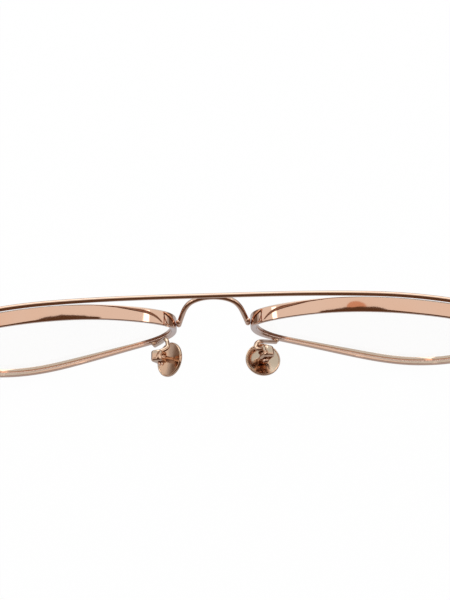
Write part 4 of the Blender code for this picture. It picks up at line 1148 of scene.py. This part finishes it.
class TempleLine:
    """The middle line of a temple, from the hinge back over the ear."""

    def __init__(self, front, side):
        self.side = side
        self.sizes = sizes = front.temple
        start = front.lug(side)
        start.y = front.hinge_axis(side).y + front.sizes.seat_gap / 2
        self.bend_end = sizes.to_bend + sizes.bend_radius * sizes.bend_angle
        self.step = 0.0005
        self.points = [start]
        for index in range(int(sizes.to_bend * 2 / self.step)):
            ahead = self.axes((index + 0.5) * self.step)[0]
            self.points.append(self.points[-1] + ahead * self.step)
        lowest = front.sizes.lens_top_drop + front.sizes.lens_height + front.outer
        above = self.point(self.bend_end).z - BAR_CENTRE.z + lowest - sizes.tip_height / 2
        fall = math.sin(sizes.slope + sizes.bend_angle)
        self.end = self.bend_end + above / fall + sizes.tip_height / 2

    def axes(self, distance):
        """Directions forwards, across and up at a distance along the temple."""
        sizes = self.sizes
        toe = smooth_step(distance, sizes.toe_in_start, sizes.toe_in_end, 0.0, sizes.toe_in)
        share = (distance - sizes.to_bend) / (self.bend_end - sizes.to_bend)
        slope = sizes.slope + sizes.bend_angle * min(max(share, 0.0), 1.0)
        level = Vector((-self.side * math.sin(toe), math.cos(toe), 0))
        across = Vector((self.side * math.cos(toe), math.sin(toe), 0))
        lean = slope - smooth_step(distance, 0.0, sizes.toe_in_start, sizes.slope, 0.0)
        return (level * math.cos(slope) - UP * math.sin(slope), across,
                level * math.sin(lean) + UP * math.cos(lean))

    def point(self, distance):
        """Middle of the temple at a distance from the hinge."""
        place = distance / self.step
        index = min(max(int(place), 0), len(self.points) - 2)
        return self.points[index].lerp(self.points[index + 1], place - index)

    def place(self, distance, width, height):
        """A section's place: its X across and its Y up, each scaled to the size."""
        _, across, up = self.axes(distance)
        place = Matrix((across * width, up * height, across.cross(up))).transposed().to_4x4()
        place.translation = self.point(distance)
        return place


class SUNGLASSES_OT_temples(bpy.types.Operator):
    """Models the tapering metal shafts with the cores that run on in the tips"""
    bl_idname = "sunglasses.temples"
    bl_label = "Temples"

    def execute(self, context):
        front = Front(context.scene)
        sizes = front.temple
        thick, height = sizes.thickness, sizes.shaft_height
        tip_start = sizes.to_bend - sizes.tip_start - front.sizes.seat_gap
        metal = polished_plating("temple_plating", front.finish)
        for word, side in SIDES:
            line = TempleLine(front, side)
            places = []
            for distance in np.linspace(0.0, tip_start, SHAFT_STEPS):
                tall = smooth_step(distance, 0.0, sizes.taper, front.hinge.lug_height, height)
                places.append(line.place(distance, thick, tall))
            for distance in np.linspace(tip_start, line.end - sizes.core_end, CORE_STEPS):
                places.append(line.place(distance, sizes.core_width, sizes.core_height))
            bm = bmesh.new()
            face = new_face(bm, oblong(thick, height), thick / 4)
            bmesh.ops.scale(bm, vec=(1 / thick, 1 / height, 1), verts=face.verts[:])
            sweep(bm, face, places)
            add_piece(word + "_temple_shaft", bm, metal, word + "_temple_body",
                      [word + "_temple"], 45.0)
        return {"FINISHED"}


class SUNGLASSES_OT_tips(bpy.types.Operator):
    """Models the glossy plastic tips with a blind hole for the core"""
    bl_idname = "sunglasses.tips"
    bl_label = "Temple tips"

    def execute(self, context):
        front = Front(context.scene)
        sizes = front.temple
        plastic = mottled_plastic("tip_brown", front.finish)
        start = sizes.to_bend - sizes.tip_start
        radius = sizes.tip_height / 2
        for word, side in SIDES:
            line = TempleLine(front, side)
            round_start = line.end - radius
            places = []
            for distance in np.linspace(start, round_start, TIP_STEPS):
                tall = smooth_step(distance, start, start + sizes.tip_swell,
                                   sizes.tip_start_height, sizes.tip_height)
                ease = smooth_step(distance, start, start + 0.0006, 0.90, 1.0)
                places.append(line.place(distance, sizes.tip_width * ease, tall * (0.5 + ease / 2)))
            for turn in np.linspace(0.0, QUARTER, 14)[1:-1]:
                cos = math.cos(turn)
                places.append(line.place(round_start + radius * math.sin(turn),
                                         sizes.tip_width * (0.55 + 0.45 * cos),
                                         sizes.tip_height * cos))
            places.reverse()
            hole_end = line.end - sizes.core_end + front.sizes.seat_gap
            for distance in np.linspace(start, hole_end, BORE_STEPS):
                places.append(line.place(distance, sizes.core_width + 2 * sizes.core_gap,
                                         sizes.core_height + 2 * sizes.core_gap))
            bm = bmesh.new()
            sweep(bm, new_face(bm, oblong(1, 1), 0.28, 7), places)
            add_piece(word + "_ear_tip", bm, plastic, word + "_temple_body",
                      [word + "_temple_tip"], 50.0)
        return {"FINISHED"}


class SUNGLASSES_OT_pad_arms(bpy.types.Operator):
    """Models the bent pad arms, each with its foot and pad box"""
    bl_idname = "sunglasses.pad_arms"
    bl_label = "Pad arms"

    def box(self, front, side):
        """The pad box: round about the screw, slotted for the pad's tab."""
        pads = front.pads
        pivot, axis, _, across = front.pad_frame(side)
        slot, width = front.pad_box()
        place = facing(pivot, axis * -side, across)
        x, y = pads.ear_radius - pads.box_corner, pads.box_reach - pads.box_corner
        outline = (arc((0, 0), pads.ear_radius, math.pi, math.tau)
                   + arc((x, y), pads.box_corner, 0.0, QUARTER)
                   + arc((-x, y), pads.box_corner, QUARTER, math.pi))
        room, inner = pads.ear_radius * 2, pads.box_reach - pads.box_wall
        cut = slab([(room, inner), (room, -room), (-room, -room), (-room, inner)], slot * 2, place)
        return carve(slab(outline, width * 2, place, BOX_EDGE), cut)

    def execute(self, context):
        front = Front(context.scene)
        sizes, pads = front.sizes, front.pads
        metal = polished_plating("pad_arm_plating", front.finish, True)
        distance = front.nose_side_at(pads.foot_drop)
        behind = front.depth(distance) / 2 + sizes.solder_gap
        middle = front.outer - sizes.rim_wall / 2
        slot, width = front.pad_box()
        thick, foot_radius = pads.foot_thickness, pads.foot_radius
        plate = [(0.0, 0.0), (foot_radius, 0.0), (foot_radius, thick * 0.6),
                 (foot_radius * 0.9, thick * 0.85), (foot_radius * 0.7, thick), (0.0, thick)]
        for word, side in SIDES:
            seat = front.beside(side, distance, middle, -behind)
            foot = front.beside(side, distance, middle, -behind - thick)
            pivot, axis, back, across = front.pad_frame(side)
            bends = [pivot + Vector((-side * nosewards, -forwards, upwards))
                     for nosewards, forwards, upwards in ARM_BENDS[side]]
            bow = (foot + bends[0]) / 2 + Vector((-side, 0, 1)) * 0.0002
            box_end = pivot + back * (pads.box_reach - pads.box_wall / 2) - axis * slot
            line = open_spline([foot, bow, *bends, box_end], ARM_STEPS)
            arm = wire(line, pads.arm_radius, ARM_SIDES, False)
            bm = carve(self.box(front, side), arm, "UNION")
            place = facing(seat, foot - seat, ACROSS)
            bm = carve(bm, turned(plate, place, SMALL_SIDES), "UNION")
            # The hole runs through the near ear and three quarters of the far one
            far = slot + pads.ear_thickness * 0.75
            centre = pivot + axis * (width * 2 - far) / 2
            bm = bored(bm, facing(centre, axis, across), pads.screw_radius + sizes.screw_clearance,
                       width * 2 + far)
            add_piece(word + "_pad_wire", bm, metal, "front", [word + "_pad_arm"],
                      38.0)
        return {"FINISHED"}


class SUNGLASSES_OT_nose_pads(bpy.types.Operator):
    """Models the round dished metal nose pads with their tabs"""
    bl_idname = "sunglasses.nose_pads"
    bl_label = "Nose pads"

    def dish(self, pads):
        """Profile of the dished pad, from the middle of its face round its lip to its floor."""
        face, flat, radius = -pads.face_reach, pads.face_radius, pads.pad_radius
        floor = face + pads.floor
        lip = floor + pads.lip
        profile = [(0.0, face), (flat - 0.0002, face), (flat, face + 0.00004)]
        swell = radius - flat
        for turn in np.linspace(0.15, QUARTER, 7):
            rise = swell * (1 - math.cos(turn)) * 0.9
            profile.append((flat + swell * math.sin(turn), face + rise))
        ease = pads.lip_width / 2
        profile += arc((radius - ease, lip - ease), ease, 0.0, math.pi, 9)
        inner = radius - pads.lip_width
        for share in np.linspace(0.08, 1.0, 16):
            drop = math.sin(share * QUARTER)
            profile.append((inner * (1 - share), lip - ease + (floor - lip + ease) * drop))
        return profile

    def execute(self, context):
        front = Front(context.scene)
        pads = front.pads
        metal = polished_plating("pad_plating", front.finish, True)
        radius, thick = pads.tab_radius, pads.tab_thickness
        root, tall = radius * 1.25, pads.face_reach - pads.floor / 2
        outline = arc((0, 0), radius, 0.0, math.pi) + [
            (-radius, -tall * 0.6), (-root, -tall), (root, -tall), (radius, -tall * 0.6)]
        for word, side in SIDES:
            pivot, axis, back, across = front.pad_frame(side, True)
            bm = turned(self.dish(pads), facing(pivot, back, across), front.fineness.turned_sides)
            tab = slab(outline, thick, facing(pivot, axis * -side, across), TAB_EDGE)
            bm = carve(bm, tab, "UNION")
            bore = pads.screw_radius + front.sizes.screw_clearance
            bm = bored(bm, facing(pivot, axis, across), bore, thick * 2)
            add_piece(word + "_round_pad", bm, metal, word + "_pad_body", [word + "_nose_pad"],
                      38.0)
        return {"FINISHED"}


class SUNGLASSES_OT_stage(bpy.types.Operator):
    """Sets up the white floor, the soft light and the camera"""
    bl_idname = "sunglasses.stage"
    bl_label = "Stage"

    def floor(self, settings):
        """A white floor that keeps the shadow, with a grey card and a dark part in reflections."""
        bm = bmesh.new()
        bmesh.ops.create_grid(bm, x_segments=1, y_segments=1, size=settings.floor_size / 2)
        floor = new_object("floor", bm)
        floor.location.z = -FLOOR_GAP
        material, nodes, place = new_material("floor_white")
        camera, glossy, through = [nodes.add("LightPath", output=f"Is {kind} Ray")
                                   for kind in ("Camera", "Glossy", "Transmission")]
        x, back = nodes.split(place)
        beside = abs(x)
        near = back.over(-0.19, -0.17) * glossy
        aside = beside.over(0.025, 0.035) * beside.under(0.14, 0.18) * back.under(-0.070, -0.066)
        tone = nodes.mix(near, WHITE, settings.floor_card)
        tone = nodes.mix(near * aside, tone, settings.studio_dark)
        tone = nodes.mix(back.over(0.05, 0.09) * glossy, tone, settings.studio_dark)
        glow = nodes.add("Emission", {"Color": tone, "Strength": 1.0})
        matte = nodes.add("BsdfDiffuse", {"Color": (0.86, 0.86, 0.86, 1)})
        share = settings.floor_glow * camera + 0.9 * glossy + settings.floor_glow * through
        shader = nodes.add("MixShader", {0: share, 1: matte, 2: glow})
        nodes.add("OutputMaterial", {"Surface": shader})
        floor.data.materials.append(material)

    def world(self, settings):
        """White all round, and for reflections a dim brown room behind the wearer's side."""
        world = bpy.data.worlds.new("studio")
        world.use_nodes = True
        bpy.context.scene.world = world
        nodes = Nodes(world.node_tree)
        direction = nodes.add("TexCoord", output="Generated")
        x, y = nodes.split(direction)
        # Limits in the direction that is seen: X to the wearer's left, Y to the back
        side = abs(x - 0.035)
        jag = nodes.noise(direction, 16.0, 4.0)
        ragged = y - 0.05 * side + 0.035 * jag + 0.02 * side.over(0.07, 0.14)
        patch = side.under(0.49, 0.53) * ragged.over(-0.087, -0.083)
        # Painted highlights: two narrow bright strips, seen only in reflections, put the white
        # highlights on the rims' bands
        highlight_strips = side.over(0.724, 0.732) * side.under(0.782, 0.790) * y.over(-0.30, -0.26)
        dome_size = 13.3
        across, along = (x - 0.185) * dome_size, (y + 0.112) * dome_size
        dome = (across * across + along * along).under(0.85, 1.1)
        # Painted highlight: the room low in front shows brighter than white, and only in
        # reflections
        glow = Vector(settings.studio_card) * settings.front_glow
        tone = nodes.mix(y.over(-0.46, -0.38), settings.studio_card, WHITE)
        tone = nodes.mix(y.over(-0.74, -0.68), glow, tone)
        tone = nodes.mix(highlight_strips, tone, [settings.side_glow] * 3)
        tone = nodes.mix(dome, tone, settings.studio_copper)
        tone = nodes.mix(patch, tone, settings.studio_dark)
        tone = nodes.mix(y.over(0.14, 0.28), tone, settings.studio_dark)
        tone = nodes.mix(nodes.add("LightPath", output="Is Glossy Ray"), WHITE, tone)
        shader = nodes.add("Background", {"Color": tone, "Strength": 1.0})
        nodes.add("OutputWorld", {"Surface": shader})

    def lamp(self, name, place, size, power):
        """A soft rectangular lamp that faces the middle of the bar."""
        data = bpy.data.lights.new(name, "AREA")
        data.shape = "RECTANGLE"
        data.size, data.size_y = size
        data.energy = power
        lamp = new_object(name, data)
        lamp.location = BAR_CENTRE + place
        lamp.rotation_euler = (-place).to_track_quat("-Z", "Y").to_euler()

    def camera(self, settings):
        """The camera at the picture's viewing angle."""
        pitch, tilt, roll = settings.camera_pitch, settings.camera_tilt, settings.camera_roll
        level = Vector((0, -math.cos(pitch), math.sin(pitch)))
        upright = UP * math.cos(pitch) + BACK * math.sin(pitch)
        back = ACROSS * math.sin(tilt) + upright * math.cos(tilt)
        right = (-back).cross(level).normalized()
        up = right.cross(-back)
        turned_right = right * math.cos(roll) + up * math.sin(roll)
        turned_up = up * math.cos(roll) - right * math.sin(roll)
        focal = settings.camera_scale * settings.camera_distance
        aim = (Vector(PICTURE) / 2 - Vector(settings.camera_aim)) / focal
        ahead = (-back + turned_right * aim.x - turned_up * aim.y).normalized()
        data = bpy.data.cameras.new("camera")
        data.sensor_width = 36.0
        data.lens = focal / PICTURE[1] * data.sensor_width
        data.clip_start = 0.01
        camera = new_object("camera", data)
        camera.matrix_world = facing(BAR_CENTRE + back * settings.camera_distance, -ahead,
                                     turned_right)
        bpy.context.scene.camera = camera

    def execute(self, context):
        settings = context.scene.sunglasses_stage
        self.floor(settings)
        self.world(settings)
        self.lamp("front_lamp", Vector((0, -0.675, 0.315)), (1.0, 0.32), settings.front_lamp)
        self.camera(settings)
        context.scene.view_settings.view_transform = "Standard"
        return {"FINISHED"}


class SUNGLASSES_PT_pieces(bpy.types.Panel):
    """Lists the steps that build the sunglasses"""
    bl_idname = "SUNGLASSES_PT_pieces"
    bl_label = "Sunglasses"
    bl_space_type = "VIEW_3D"
    bl_region_type = "UI"
    bl_category = "Sunglasses"

    def draw(self, context):
        for operator in OPERATORS:
            self.layout.operator(operator.bl_idname)
        for group in SETTINGS:
            settings = getattr(context.scene, group)
            column = self.layout.column(align=True)
            for key in settings.__annotations__:
                column.prop(settings, key)


SETTINGS = {
    "sunglasses_front": FrontSizes,
    "sunglasses_hinge": HingeSizes,
    "sunglasses_temple": TempleSizes,
    "sunglasses_pads": PadSizes,
    "sunglasses_finishes": Finishes,
    "sunglasses_stage": StageSettings,
    "sunglasses_fineness": Fineness,
}
OPERATORS = (
    SUNGLASSES_OT_rims, SUNGLASSES_OT_lenses, SUNGLASSES_OT_brow_bar, SUNGLASSES_OT_nose_bridge,
    SUNGLASSES_OT_end_pieces, SUNGLASSES_OT_closing_blocks, SUNGLASSES_OT_screws,
    SUNGLASSES_OT_hinges, SUNGLASSES_OT_temples, SUNGLASSES_OT_tips, SUNGLASSES_OT_pad_arms,
    SUNGLASSES_OT_nose_pads, SUNGLASSES_OT_stage,
)


def register():
    """Registers the settings, operators and panel."""
    for name, group in SETTINGS.items():
        bpy.utils.register_class(group)
        setattr(bpy.types.Scene, name, PointerProperty(type=group))
    for item in (*OPERATORS, SUNGLASSES_PT_pieces):
        bpy.utils.register_class(item)


def unregister():
    """Takes them out again."""
    for item in (SUNGLASSES_PT_pieces, *reversed(OPERATORS)):
        bpy.utils.unregister_class(item)
    for name, group in SETTINGS.items():
        delattr(bpy.types.Scene, name)
        bpy.utils.unregister_class(group)


def main():
    """Builds every piece and the stage."""
    register()
    for operator in OPERATORS:
        getattr(bpy.ops.sunglasses, operator.bl_idname.split(".")[1])()


if __name__ == "__main__":
    main()
